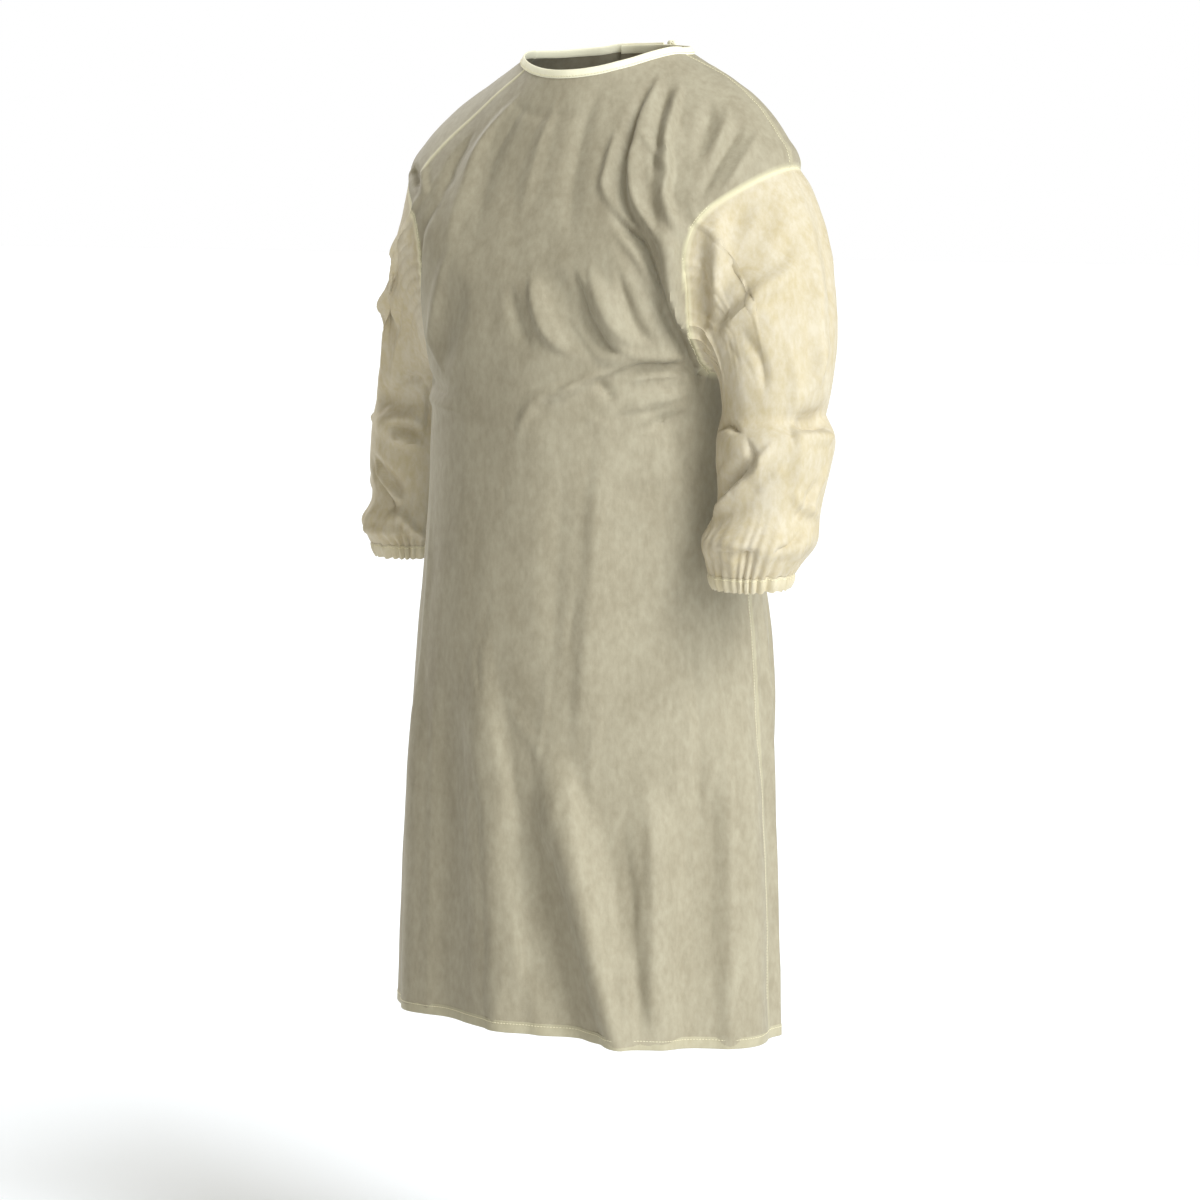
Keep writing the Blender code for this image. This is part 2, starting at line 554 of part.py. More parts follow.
def make_gown():
    """Every piece of the gown."""
    shell = make_material("gown_cloth", (0.62, 0.57, 0.38), 0.9)
    arms = make_material("sleeve_cloth", (0.78, 0.69, 0.42), 0.9)
    tape = make_material("binding_tape", (0.84, 0.80, 0.60), 0.85)

    body, normals = body_surface()
    sleeves = {}
    sleeves[1] = sleeve_surface(1, body, LEFT_ARM, LEFT_SLEEVE_FOLDS, LEFT_SWELL)
    sleeves[-1] = sleeve_surface(-1, body, RIGHT_ARM, RIGHT_SLEEVE_FOLDS, RIGHT_SWELL)

    # Both sides of a seam share one normal, so the two walls meet edge to edge even at a sharp crease.
    edged = body.copy()
    for side, (points, facing) in sleeves.items():
        loop = armhole_loop(side)
        inward = into_panel(body, loop) * SEAM_GAP / 2
        for number, spot in enumerate(loop):
            facing[0, number] = unit(facing[0, number] + normals[spot])
            normals[spot] = facing[0, number]
            edged[spot] += inward[number]
            points[0, number] -= inward[number]

    def cloth(row, column):
        """Whether a cell of the body is cloth and not armhole."""
        from_seam = min(column % (2 * QUARTER), 2 * QUARTER - 1 - column % (2 * QUARTER))
        return not (ARMPIT_ROW <= row < SHOULDER_ROW and from_seam < ARMHOLE_COLUMNS)

    def panel(name, first, last, lift=None):
        """A stretch of the body between two columns, as a wall."""
        columns = np.arange(first, last + 1)
        points = edged[:, columns % AROUND]
        facing = normals[:, columns % AROUND]
        if lift is not None:
            points = points + facing * np.array([lift(column) for column in columns])[None, :, None]
        edges = [0, len(columns) - 1]
        points = pulled_in(points, [len(points) - 1], edges)
        wall(name, points, facing, CLOTH, shell, keep=lambda row, cell: cloth(row, first + cell))

    panel("front_panel", 2 * QUARTER, 4 * QUARTER)
    panel("back_panel_left", 0, QUARTER + LAP_COLUMNS)
    panel("back_panel_right", QUARTER - LAP_COLUMNS, 2 * QUARTER, lap_lift)

    for side, (points, facing) in sleeves.items():
        word = "left" if side > 0 else "right"
        cuff, cuff_facing = cuff_surface(points, side)
        facing[-1] = unit(facing[-1] * (1, 1, 0))
        cuff_facing[0] = unit(cuff_facing[0] * (1, 1, 0))
        wall(f"sleeve_{word}", points, facing, CLOTH, arms, closed=True)
        cuff_facing[0, ::2] = facing[-1]
        wall(f"cuff_{word}", cuff, cuff_facing, CLOTH, arms, closed=True)

    # The binding stands on the whole neckline, so its two ends lap at the back as the panels do.
    columns = np.arange(QUARTER - LAP_COLUMNS, QUARTER + LAP_COLUMNS + AROUND + 1)
    facing = normals[-1, columns % AROUND]
    lift = np.array([lap_lift(column) if column < 2 * QUARTER else 0 for column in columns])
    edge = body[-1, columns % AROUND] + facing * lift[:, None]
    climb = unit(unit(edge - body[-2, columns % AROUND] - facing * lift[:, None]) + (0, 0, BINDING_CLIMB))
    heights = (SEAM_GAP / 2, BINDING_HEIGHT / 2, BINDING_HEIGHT)
    band = np.array([edge + climb * height for height in heights])
    band_facing = grid_normals(band, False)
    band_facing[0] = facing
    wall("neck_binding", band, band_facing, BINDING, tape)

    # The neck's knot butts against the binding's outer end, and the ties' tails hang from it.
    start = band[1, 0]
    along = unit(band[1, 0] - band[1, 1])
    out = unit(band_facing[1, 0] * (1, 1, 0))
    knot = start + along * (NECK_KNOT[0] / 2 + SEAM_GAP) + out * (NECK_KNOT[1] / 2 - BINDING)
    knot[2] += NECK_KNOT_RISE
    make_knot("neck_knot", knot, out, NECK_KNOT, tape)
    hang = knot[2] - NECK_KNOT[2] / 2 - SEAM_GAP
    for word, lean in (("left", -TAIL_SPREAD), ("right", TAIL_SPREAD)):
        make_tail(f"neck_tail_{word}", body, normals, NECK_TAIL_COLUMN, hang, lean, tape)

    # The waist ties run from the side seams over the backs to their knot near the centre.
    rows = [row_of(BODY, "tie_low"), row_of(BODY, "tie_high")]
    clear = CLOTH / 2 + SEAM_GAP + TAPE / 2
    ends = {
        "left": np.arange(0, TIE_REACH + 1),
        "right": np.arange(2 * QUARTER, 2 * QUARTER - TIE_REACH - 1, -1),
    }
    for word, columns in ends.items():
        facing = normals[np.ix_(rows, columns)]
        rise = np.array([clear + (lap_lift(c) if c >= QUARTER - LAP_COLUMNS else 0) for c in columns])
        tie = body[np.ix_(rows, columns)] + facing * rise[None, :, None]
        middle = body[rows, QUARTER] + normals[rows, QUARTER] * rise[-1]
        short = WAIST_KNOT[0] / 2 + SEAM_GAP
        butt = middle + unit(tie[:, -1] - middle) * short
        tie = np.concatenate([tie, butt[:, None]], axis=1)
        facing = np.concatenate([facing, normals[rows, QUARTER][:, None]], axis=1)
        wall(f"waist_tie_{word}", tie, facing, TAPE, tape)
    centre = body[rows[0] : rows[1] + 1, QUARTER].mean(axis=0)
    out = unit(normals[rows[0], QUARTER] * (1, 1, 0))
    knot = centre + out * (LAP_LIFT + CLOTH / 2 + SEAM_GAP + WAIST_KNOT[1] / 2)
    make_knot("waist_knot", knot, out, WAIST_KNOT, tape)
    hang = knot[2] - WAIST_KNOT[2] / 2 - SEAM_GAP + WAIST_TAIL_RISE
    for word, lean in (("left", -TAIL_SPREAD), ("right", TAIL_SPREAD)):
        make_tail(f"waist_tail_{word}", body, normals, QUARTER, hang, lean, tape)


for leftover in list(bpy.data.objects):
    bpy.data.objects.remove(leftover)
make_gown()
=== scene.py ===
"""Isolation gown of thin spunbond cloth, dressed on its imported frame.

The gown's body is one surface, worked out from a table of sections between the hem and the neckline, and
cut into a front and two backs. Each sleeve grows from its armhole, and a gathered cuff hangs from each
sleeve. Creases are soft ridges and troughs laid over these surfaces along short paths.

Metres, +Z up. The front faces -Y and the left sleeve is at +X.
"""

import logging
import math
from dataclasses import astuple, dataclass, field
from enum import Enum
from typing import Callable, Sequence

import bmesh
import bpy
import numpy as np
from mathutils import Matrix, Vector, noise

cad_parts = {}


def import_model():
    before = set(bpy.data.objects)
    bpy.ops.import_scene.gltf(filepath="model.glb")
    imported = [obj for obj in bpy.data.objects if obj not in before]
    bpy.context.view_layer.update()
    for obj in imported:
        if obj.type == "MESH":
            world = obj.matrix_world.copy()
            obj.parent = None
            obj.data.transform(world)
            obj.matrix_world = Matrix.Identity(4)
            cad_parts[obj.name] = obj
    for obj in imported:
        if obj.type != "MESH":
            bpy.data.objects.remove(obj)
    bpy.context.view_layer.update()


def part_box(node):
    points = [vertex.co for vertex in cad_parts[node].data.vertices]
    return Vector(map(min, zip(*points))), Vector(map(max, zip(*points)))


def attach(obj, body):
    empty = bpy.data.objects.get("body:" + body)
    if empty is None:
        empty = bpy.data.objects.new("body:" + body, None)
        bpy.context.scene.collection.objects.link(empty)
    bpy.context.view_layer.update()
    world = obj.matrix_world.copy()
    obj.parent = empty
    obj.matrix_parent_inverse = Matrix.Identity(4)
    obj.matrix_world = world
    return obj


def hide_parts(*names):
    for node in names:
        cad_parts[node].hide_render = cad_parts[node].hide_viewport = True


LOG = logging.getLogger("isolation_gown")

Grid = np.ndarray
Item = bpy.types.Object
Material = bpy.types.Material

BODY_NAME = "root"
DOUBLED = "doubled"  # the attribute that says how many layers lie on each other


# ---------------------------------------------------------------- small helpers


def unit(vectors: Grid) -> Grid:
    """Return vectors at length 1."""
    return vectors / np.maximum(np.linalg.norm(vectors, axis=-1, keepdims=True), 1e-12)


def smooth(share: Grid) -> Grid:
    """Return 0 below 0, 1 above 1, and an even S between them."""
    share = np.clip(share, 0, 1)
    return share * share * (3 - 2 * share)


def turned(degrees: Grid) -> Grid:
    """Return angles brought into -180 to 180 degrees."""
    return (degrees + 180) % 360 - 180


def between_rings(table: Grid, rows: Sequence[int], fineness: Sequence[int]) -> Grid:
    """Lay smooth steps between the rows of a table.

    Args:
        table: One row of numbers for each section.
        rows: The coarse steps from each section up to the next one.
        fineness: How many fine steps each of those coarse steps is cut into.

    Returns:
        Rows on a smooth curve through the table's own rows.
    """
    ends = np.vstack([2 * table[0] - table[1], table, 2 * table[-1] - table[-2]])
    found = []
    for number in range(len(table) - 1):
        before, start, end, after = ends[number : number + 4]
        for step in range(rows[number] * fineness[number]):
            u = step / (rows[number] * fineness[number])
            bend = 2 * before - 5 * start + 4 * end - after
            twist = 3 * start - before - 3 * end + after
            found.append(start + 0.5 * u * (end - before + u * (bend + u * twist)))
    return np.array(found + [table[-1]])


def round_loop(points: Grid, steps: int) -> Grid:
    """Lay smooth steps round a closed loop of points.

    Args:
        points: The loop's points, or any numbers that belong to them.
        steps: How many steps each stretch is cut into.

    Returns:
        The loop with steps - 1 new rows after each of its own.
    """
    before, after, later = (np.roll(points, shift, axis=0) for shift in (1, -1, -2))
    found = []
    for step in range(steps):
        u = step / steps
        bend = 2 * before - 5 * points + 4 * after - later
        twist = 3 * points - before - 3 * after + later
        found.append(points + 0.5 * u * (after - before + u * (bend + u * twist)))
    return np.stack(found, axis=1).reshape(-1, *points.shape[1:])


def grid_normals(points: Grid, closed: bool) -> Grid:
    """Return the normal at each point of a grid, across its columns and then up its rows."""
    if closed:
        along = np.roll(points, -1, axis=1) - np.roll(points, 1, axis=1)
    else:
        along = np.gradient(points, axis=1)
    return unit(np.cross(along, np.gradient(points, axis=0)))


def linear_colour(code: str) -> tuple[float, float, float, float]:
    """Return an sRGB hex colour, such as "#C8C3AF", as linear numbers."""
    parts = [int(code[place : place + 2], 16) / 255 for place in (1, 3, 5)]
    return (*(part / 12.92 if part <= 0.04045 else ((part + 0.055) / 1.055) ** 2.4 for part in parts), 1.0)


def placed(name: str, data: bpy.types.ID) -> Item:
    """Put a mesh, a curve, a light or a camera into the scene at the origin."""
    made = bpy.data.objects.new(name, data)
    bpy.context.scene.collection.objects.link(made)
    return made


def mark_doubled(mesh: bpy.types.Mesh, doubled: Grid | float) -> None:
    """Write down how doubled the cloth is at each point of a mesh."""
    layer = mesh.attributes.new(DOUBLED, "FLOAT", "POINT")
    layer.data.foreach_set("value", np.broadcast_to(doubled, len(mesh.vertices)).astype(np.float32))


# ---------------------------------------------------------------- finishes


def add_node(
    tree: bpy.types.NodeTree,
    kind: str,
    settings: dict[str, object] | None = None,
    links: dict[str | int, bpy.types.NodeSocket] | None = None,
) -> bpy.types.Node:
    """Add a node to a tree.

    Args:
        tree: The tree that it goes into.
        kind: The node's type name.
        settings: Values for its sockets by name or number, or for its own properties.
        links: The output that feeds each of its inputs, by name or number.

    Returns:
        The new node.
    """
    node = tree.nodes.new(kind)
    for name, value in (settings or {}).items():
        if isinstance(name, int) or name in node.inputs:
            node.inputs[name].default_value = value
        else:
            setattr(node, name, value)
    for name, output in (links or {}).items():
        tree.links.new(output, node.inputs[name])
    return node


def new_material(
    name: str, values: dict[str, object]
) -> tuple[Material, bpy.types.NodeTree, bpy.types.Node]:
    """Start a material, with constant values on its shader's own sockets.

    Args:
        name: The material's name.
        values: The value of each socket, by its name.

    Returns:
        The material, its tree and its shader.
    """
    material = bpy.data.materials.new(name)
    material.use_nodes = True
    shader = material.node_tree.nodes["Principled BSDF"]
    for socket, value in values.items():
        shader.inputs[socket].default_value = value
    return material, material.node_tree, shader


@dataclass(frozen=True)
class SpunbondFinish:
    """Spunbond polypropylene cloth: continuous filaments laid at random and pressed together at small points.

    The filaments bunch into thick and thin places, so the cloth looks cloudy, and it is matt with a faint
    waxy sheen. Where two layers lie on each other, at seams and folded edges, it looks paler.
    """

    name: str
    thick: str
    thin: str
    doubled: str
    rough: float = 0.72
    cloud_mm: float = 34.0
    flock_mm: float = 7.0
    fibre_mm: float = 1.6
    point_mm: float = 2.6  # real bond points stand about 1.3 mm apart, which is too fine to show
    relief_mm: float = 0.35

    def material(self) -> Material:
        """Build the material's nodes."""
        values = {
            "Roughness": self.rough, "Metallic": 0.0, "IOR": 1.49, "Specular IOR Level": 0.3,
            "Sheen Weight": 0.12, "Sheen Roughness": 0.5,
        }
        material, tree, shader = new_material(self.name, values)
        place = add_node(tree, "ShaderNodeTexCoord").outputs["Object"]
        # Filaments run mostly along the roll, so thick and thin places are drawn out up and down.
        stretch = add_node(tree, "ShaderNodeMapping", {"Scale": (1, 1, 0.55)}, {"Vector": place})
        along = stretch.outputs["Vector"]
        cloud, flock, fibres = (
            add_node(
                tree, "ShaderNodeTexNoise",
                {"Scale": 1000 / size_mm, "Detail": detail, "Roughness": rough}, {"Vector": source},
            ).outputs["Fac"]
            for source, size_mm, detail, rough in (
                (along, self.cloud_mm, 3.0, 0.55),
                (along, self.flock_mm, 4.0, 0.6),
                (place, self.fibre_mm, 2.0, 0.5),
            )
        )
        points = add_node(
            tree, "ShaderNodeTexVoronoi",
            {"feature": "F1", "Scale": 1000 / self.point_mm, "Randomness": 0.25}, {"Vector": place},
        ).outputs["Distance"]

        add = {"operation": "MULTIPLY_ADD"}
        clouds = add_node(tree, "ShaderNodeMath", {**add, 1: 0.45, 2: 0.0}, {0: cloud}).outputs[0]
        blend = add_node(tree, "ShaderNodeMath", {**add, 1: 0.55}, {0: flock, 2: clouds}).outputs[0]
        ramp = add_node(tree, "ShaderNodeValToRGB", links={"Fac": blend})
        for stop, position, colour in zip(ramp.color_ramp.elements, (0.36, 0.64), (self.thin, self.thick)):
            stop.position = position
            stop.color = linear_colour(colour)
        doubled = add_node(tree, "ShaderNodeAttribute", {"attribute_name": DOUBLED}).outputs["Fac"]
        colour = add_node(
            tree, "ShaderNodeMix",
            {"data_type": "RGBA", 7: linear_colour(self.doubled)}, {0: doubled, 6: ramp.outputs["Color"]},
        )
        tree.links.new(colour.outputs[2], shader.inputs["Base Color"])

        rough = add_node(tree, "ShaderNodeMath", {**add, 1: 0.5}, {0: fibres, 2: flock}).outputs[0]
        relief = add_node(tree, "ShaderNodeMath", {**add, 1: 0.35}, {0: points, 2: rough}).outputs[0]
        bump = add_node(
            tree, "ShaderNodeBump", {"Strength": 0.35, "Distance": self.relief_mm / 1000}, {"Height": relief}
        )
        tree.links.new(bump.outputs["Normal"], shader.inputs["Normal"])
        return material


@dataclass(frozen=True)
class ThreadFinish:
    """Spun polyester sewing thread: a soft round thread, slightly glossier than the cloth."""

    name: str
    colour: str
    rough: float = 0.6
    twists: float = 900.0  # to the metre
    shade: float = 0.82

    def material(self) -> Material:
        """Build the material's nodes."""
        material, tree, shader = new_material(self.name, {"Roughness": self.rough, "Metallic": 0.0})
        place = add_node(tree, "ShaderNodeTexCoord").outputs["Object"]
        twist = add_node(
            tree, "ShaderNodeTexNoise", {"Scale": self.twists, "Detail": 2.0}, {"Vector": place}
        )
        ramp = add_node(tree, "ShaderNodeValToRGB", links={"Fac": twist.outputs["Fac"]})
        bright = linear_colour(self.colour)
        ramp.color_ramp.elements[0].color = (*(part * self.shade for part in bright[:3]), 1.0)
        ramp.color_ramp.elements[1].color = bright
        tree.links.new(ramp.outputs["Color"], shader.inputs["Base Color"])
        return material


@dataclass(frozen=True)
class FloorFinish:
    """Matt white studio paper."""

    name: str = "matt_studio_paper"
    colour: str = "#F8FAFF"
    rough: float = 0.9

    def material(self) -> Material:
        """Build the material's nodes."""
        values = {"Roughness": self.rough, "Base Color": linear_colour(self.colour)}
        return new_material(self.name, values)[0]


# ---------------------------------------------------------------- creases


class Crest(Enum):
    """How the cloth stands across a crease."""

    SOFT = "soft"
    SHARP = "sharp"


class Span(Enum):
    """Which ends of a crease fade out."""

    CLOSED = "closed"
    OPEN_END = "open_end"
    OPEN = "open"


@dataclass(frozen=True)
class Crease:
    """A ridge or trough that runs over a surface along a short path.

    Each stop on the path is an angle in degrees and a height in metres. width is half the crease's breadth.
    height is positive for a ridge and negative for a trough. A lean above 0 makes the side to the path's
    left steeper, and below 0 the side to its right.
    """

    name: str
    path: tuple[tuple[float, float], ...]
    width: float
    height: float
    crest: Crest = Crest.SOFT
    lean: float = 0.0
    span: Span = Span.CLOSED
    fade: float = 0.35
    bends: int = 4

    def relief(self, degrees: Grid, heights: Grid, radius: float) -> Grid:
        """Work out how far the crease lifts each point.

        Args:
            degrees: Where each point stands round the surface.
            heights: How high each point is.
            radius: Turns an angle into a distance.

        Returns:
            Metres along each point's normal.
        """
        path = np.array(self.path, dtype=float)
        path[:, 0] = path[0, 0] + np.cumsum(np.concatenate([[0.0], turned(np.diff(path[:, 0]))]))
        stops = between_rings(path, [1] * (len(path) - 1), [self.bends] * (len(path) - 1))
        stops[:, 0] = np.radians(stops[:, 0]) * radius
        middle = (stops[:, 0].min() + stops[:, 0].max()) / 2
        around = np.radians(turned(degrees - math.degrees(middle / radius))) * radius + middle
        margin = self.width * (1 + abs(self.lean))
        near = (around > stops[:, 0].min() - margin) & (around < stops[:, 0].max() + margin)
        near &= (heights > stops[:, 1].min() - margin) & (heights < stops[:, 1].max() + margin)
        spots = np.stack([around[near], heights[near]], axis=1)

        lengths = np.linalg.norm(np.diff(stops, axis=0), axis=1)
        starts = np.concatenate([[0.0], np.cumsum(lengths)]) / lengths.sum()
        nearest, share, side = np.full(len(spots), np.inf), np.zeros(len(spots)), np.zeros(len(spots))
        for start, end, length, done, next_done in zip(stops, stops[1:], lengths, starts, starts[1:]):
            run = (end - start) / length
            away = spots - start
            along = np.clip(away @ run, 0, length)
            gap = np.linalg.norm(away - along[:, None] * run, axis=1)
            closer = gap < nearest
            nearest = np.where(closer, gap, nearest)
            share = np.where(closer, done + (next_done - done) * along / length, share)
            side = np.where(closer, run[0] * away[:, 1] - run[1] * away[:, 0], side)
        swell = np.ones(len(spots))
        if self.span is not Span.OPEN:
            swell = smooth(share / self.fade)
        if self.span is Span.CLOSED:
            swell = swell * smooth((1 - share) / self.fade)
        lean = self.lean * np.clip(side / (0.4 * self.width), -1, 1)
        reach = nearest / (self.width * (1 - lean) * (0.5 + 0.5 * swell))
        if self.crest is Crest.SHARP:
            # Hollow sides that meet in a slightly rounded edge.
            shape = np.clip(1.15 - np.sqrt(reach**2 + 0.04), 0, 1) ** 1.6
        else:
            shape = np.clip(1 - reach**2, 0, 1) ** 2
        lift = np.zeros(degrees.shape)
        lift[near] = self.height * swell * shape
        return lift


@dataclass(frozen=True)
class Rumple:
    """Small uneven creases all over a surface, as thin cloth keeps from its folding and from wear."""

    count: int
    seed: int
    top: float
    bottom: float
    length: tuple[float, float]
    width: tuple[float, float]
    height: float
    slope: float  # degrees from upright that a crease may lean
    bow: float = 0.12
    lean: float = 0.4

    def creases(self, radius: float) -> list[Crease]:
        """Scatter the creases.

        Args:
            radius: Turns a distance into an angle.

        Returns:
            The same creases each time, because the seed is fixed.
        """
        rng = np.random.default_rng(self.seed)
        found = []
        for number in range(self.count):
            angle, z = rng.uniform(-180, 180), rng.uniform(self.bottom, self.top)
            run = rng.uniform(*self.length)
            tilt = math.radians(rng.uniform(-self.slope, self.slope))
            across, rise = math.degrees(run * math.sin(tilt) / radius), run * math.cos(tilt)
            bow = rng.uniform(-self.bow, self.bow)
            aside, drop = math.degrees(bow * rise / radius), rise / 2 + bow * across / 9e3
            path = ((angle, z), (angle + across / 2 + aside, z - drop), (angle + across, z - rise))
            width = rng.uniform(*self.width)
            height = self.height * rng.choice([-1, 1]) * rng.uniform(0.35, 1.0)
            lean = rng.uniform(-self.lean, self.lean)
            found.append(Crease(f"rumple {number}", path, width, height, Crest.SHARP, lean))
        return found


def read_creases(table: str) -> tuple[Crease, ...]:
    """Read creases from a table.

    Args:
        table: A crease on each line: its name, its width and height in mm with any options, and its path,
            where each stop is an angle in degrees and a height in mm. Options are soft, open_end, lean=
            and fade=, and a crease without them is sharp and closed. A path may run on after a comma, and
            a line with # is a heading.

    Returns:
        The creases, in metres.
    """
    found = []
    for line in table.replace(",\n", ",").strip().splitlines():
        if "#" in line:
            continue
        name, sizes, stops = line.split("|")
        width, height, *options = sizes.split()
        pairs = (stop.split() for stop in stops.split(","))
        path = tuple((float(angle), float(z) / 1000) for angle, z in pairs)
        named = {key: float(value) for key, value in (word.split("=") for word in options if "=" in word)}
        crest = Crest.SOFT if Crest.SOFT.value in options else Crest.SHARP
        span = Span.OPEN_END if Span.OPEN_END.value in options else Span.CLOSED
        size = (float(width) / 1000, float(height) / 1000)
        found.append(Crease(name.strip(), path, *size, crest, span=span, **named))
    return tuple(found)


def uneven(points: Grid, size: float, height: float, drawn_out: float, seed: float) -> Grid:
    """Work out a gentle unevenness over a surface.

    Args:
        points: Where the surface's points are.
        size: About how far apart its swells are, in metres.
        height: The most that it lifts the cloth, in metres.
        drawn_out: How many times longer a swell is upwards than across.
        seed: Moves the pattern.

    Returns:
        Metres along each point's normal.
    """
    flat = points.reshape(-1, 3) * (1 / size, 1 / size, 1 / size / drawn_out) + seed
    found = [noise.noise(Vector(place)) for place in flat]
    return np.array(found).reshape(points.shape[:-1]) * height


# ---------------------------------------------------------------- cloth


@dataclass
class Patch:
    """A grid of cloth: its points, its normals and how doubled the cloth is at each point."""

    points: Grid
    normals: Grid
    doubled: Grid

    def part(self, rows: slice | Grid, columns: Grid) -> "Patch":
        """Return some of the patch's rows and columns."""
        return Patch(
            self.points[rows][:, columns], self.normals[rows][:, columns], self.doubled[rows][:, columns]
        )


def mesh_object(name: str, vertices: Grid, faces: Sequence[Sequence[int]], material: Material) -> Item:
    """Make a smooth mesh object at the origin whose faces point outwards."""
    mesh = bpy.data.meshes.new(name)
    mesh.from_pydata([tuple(vertex) for vertex in vertices], [], [tuple(face) for face in faces])
    mesh.materials.append(material)
    work = bmesh.new()
    work.from_mesh(mesh)
    if work.calc_volume(signed=True) < 0:
        bmesh.ops.reverse_faces(work, faces=work.faces)
    work.to_mesh(mesh)
    work.free()
    mesh.shade_smooth()
    mesh.set_sharp_from_angle(angle=math.radians(60))
    return placed(name, mesh)


def swept_strip(name: str, section: Grid, material: Material, doubled: float) -> Item:
    """Make a closed strip from an outline that is carried along a line.

    Args:
        name: The object's name.
        section: For each point of the outline, its place at each step along the line.
        material: The strip's finish.
        doubled: How doubled its cloth is.

    Returns:
        The strip's object, closed at both ends.
    """
    rows, count = section.shape[:2]
    sides = [(spot, (spot + 1) % rows, rows + (spot + 1) % rows, rows + spot) for spot in range(rows)]
    faces = [tuple(step * rows + corner for corner in side) for step in range(count - 1) for side in sides]
    faces += [tuple(range(rows)), tuple(reversed(range((count - 1) * rows, count * rows)))]
    made = mesh_object(name, section.transpose(1, 0, 2).reshape(-1, 3), faces, material)
    mark_doubled(made.data, doubled)
    return made


def cloth_wall(
    name: str,
    patch: Patch,
    thickness: float,
    material: Material,
    closed: bool = False,
    keep: Callable[[Grid, Grid], Grid] | None = None,
) -> Item:
    """Make a closed thin wall on the cells of a patch.

    Args:
        name: The object's name.
        patch: The cloth's middle surface.
        thickness: The wall, half of it on each side of the patch.
        material: The cloth's finish.
        closed: Whether the last column joins the first.
        keep: Says for each cell, by row and column, whether it is cloth.

    Returns:
        The wall's object, with the doubled attribute on its points.
    """
    rows, columns = patch.points.shape[:2]
    cells = np.meshgrid(np.arange(rows - 1), np.arange(columns if closed else columns - 1), indexing="ij")
    row, column = (cell.ravel() for cell in cells)
    if keep is not None:
        cloth = keep(row, column)
        row, column = row[cloth], column[cloth]
    here, after = row * columns + column, row * columns + (column + 1) % columns
    corners = np.stack([here, after, after + columns, here + columns], axis=1)
    used, corners = np.unique(corners, return_inverse=True)
    corners = corners.reshape(-1, 4)
    flat = patch.points.reshape(-1, 3)[used]
    out = patch.normals.reshape(-1, 3)[used] * thickness / 2

    inner = len(used)
    starts, ends = corners.ravel(), np.roll(corners, -1, axis=1).ravel()
    rim = ~np.isin(starts * inner + ends, ends * inner + starts)
    start, end = starts[rim], ends[rim]
    walls = np.stack([end, start, start + inner, end + inner], axis=1)
    faces = np.vstack([corners, corners[:, ::-1] + inner, walls])
    made = mesh_object(name, np.vstack([flat + out, flat - out]), faces.tolist(), material)
    mark_doubled(made.data, np.tile(patch.doubled.reshape(-1)[used], 2))
    return made


# ---------------------------------------------------------------- the body


@dataclass(frozen=True)
class Section:
    """A closed ring of a surface, which stands some coarse rows from the next one."""

    name: str
    rows: int

    def numbers(self) -> tuple[float, ...]:
        """Return what is drawn out between sections."""
        return astuple(self)[2:]


@dataclass(frozen=True)
class BodySection(Section):
    """A ring round the body. Heights and places are in metres, corner is in degrees."""

    z_side: float
    z_front: float
    z_back: float
    half_width: float
    y_side: float
    y_front: float
    y_back: float
    corner: float


BODY_SECTIONS = tuple(
    BodySection(*row)
    for row in (
        ("hem", 2, -1.110, -1.092, -1.150, 0.242, -0.050, -0.228, 0.114, 40),
        ("calf", 2, -0.985, -0.980, -1.000, 0.236, -0.048, -0.225, 0.116, 40),
        ("knee", 3, -0.840, -0.840, -0.850, 0.227, -0.045, -0.220, 0.122, 40),
        ("thigh", 2, -0.690, -0.690, -0.695, 0.216, -0.040, -0.216, 0.128, 40),
        ("seat", 2, -0.570, -0.570, -0.570, 0.204, -0.036, -0.212, 0.126, 38),
        ("waist", 1, -0.460, -0.465, -0.455, 0.196, -0.032, -0.208, 0.110, 33),
        ("tie_low", 1, -0.400, -0.412, -0.396, 0.194, -0.030, -0.206, 0.108, 29),
        ("tie_high", 1, -0.382, -0.396, -0.378, 0.194, -0.029, -0.205, 0.109, 27),
        ("armpit", 2, -0.350, -0.370, -0.352, 0.197, -0.028, -0.203, 0.116, 25),
        ("chest", 2, -0.285, -0.335, -0.300, 0.216, -0.022, -0.200, 0.128, 35),
        ("breast", 2, -0.205, -0.290, -0.240, 0.238, -0.016, -0.193, 0.134, 42),
        ("shoulder", 2, -0.124, -0.248, -0.180, 0.247, -0.012, -0.184, 0.130, 46),
        ("slope_low", 2, -0.090, -0.192, -0.124, 0.227, -0.010, -0.164, 0.120, 45),
        ("slope_mid", 2, -0.054, -0.138, -0.072, 0.192, 0.000, -0.142, 0.108, 43),
        ("slope_top", 2, -0.024, -0.083, -0.028, 0.147, 0.008, -0.122, 0.096, 42),
        ("neckline", 0, 0.000, -0.028, 0.006, 0.102, 0.000, -0.099, 0.078, 42),
    )
)

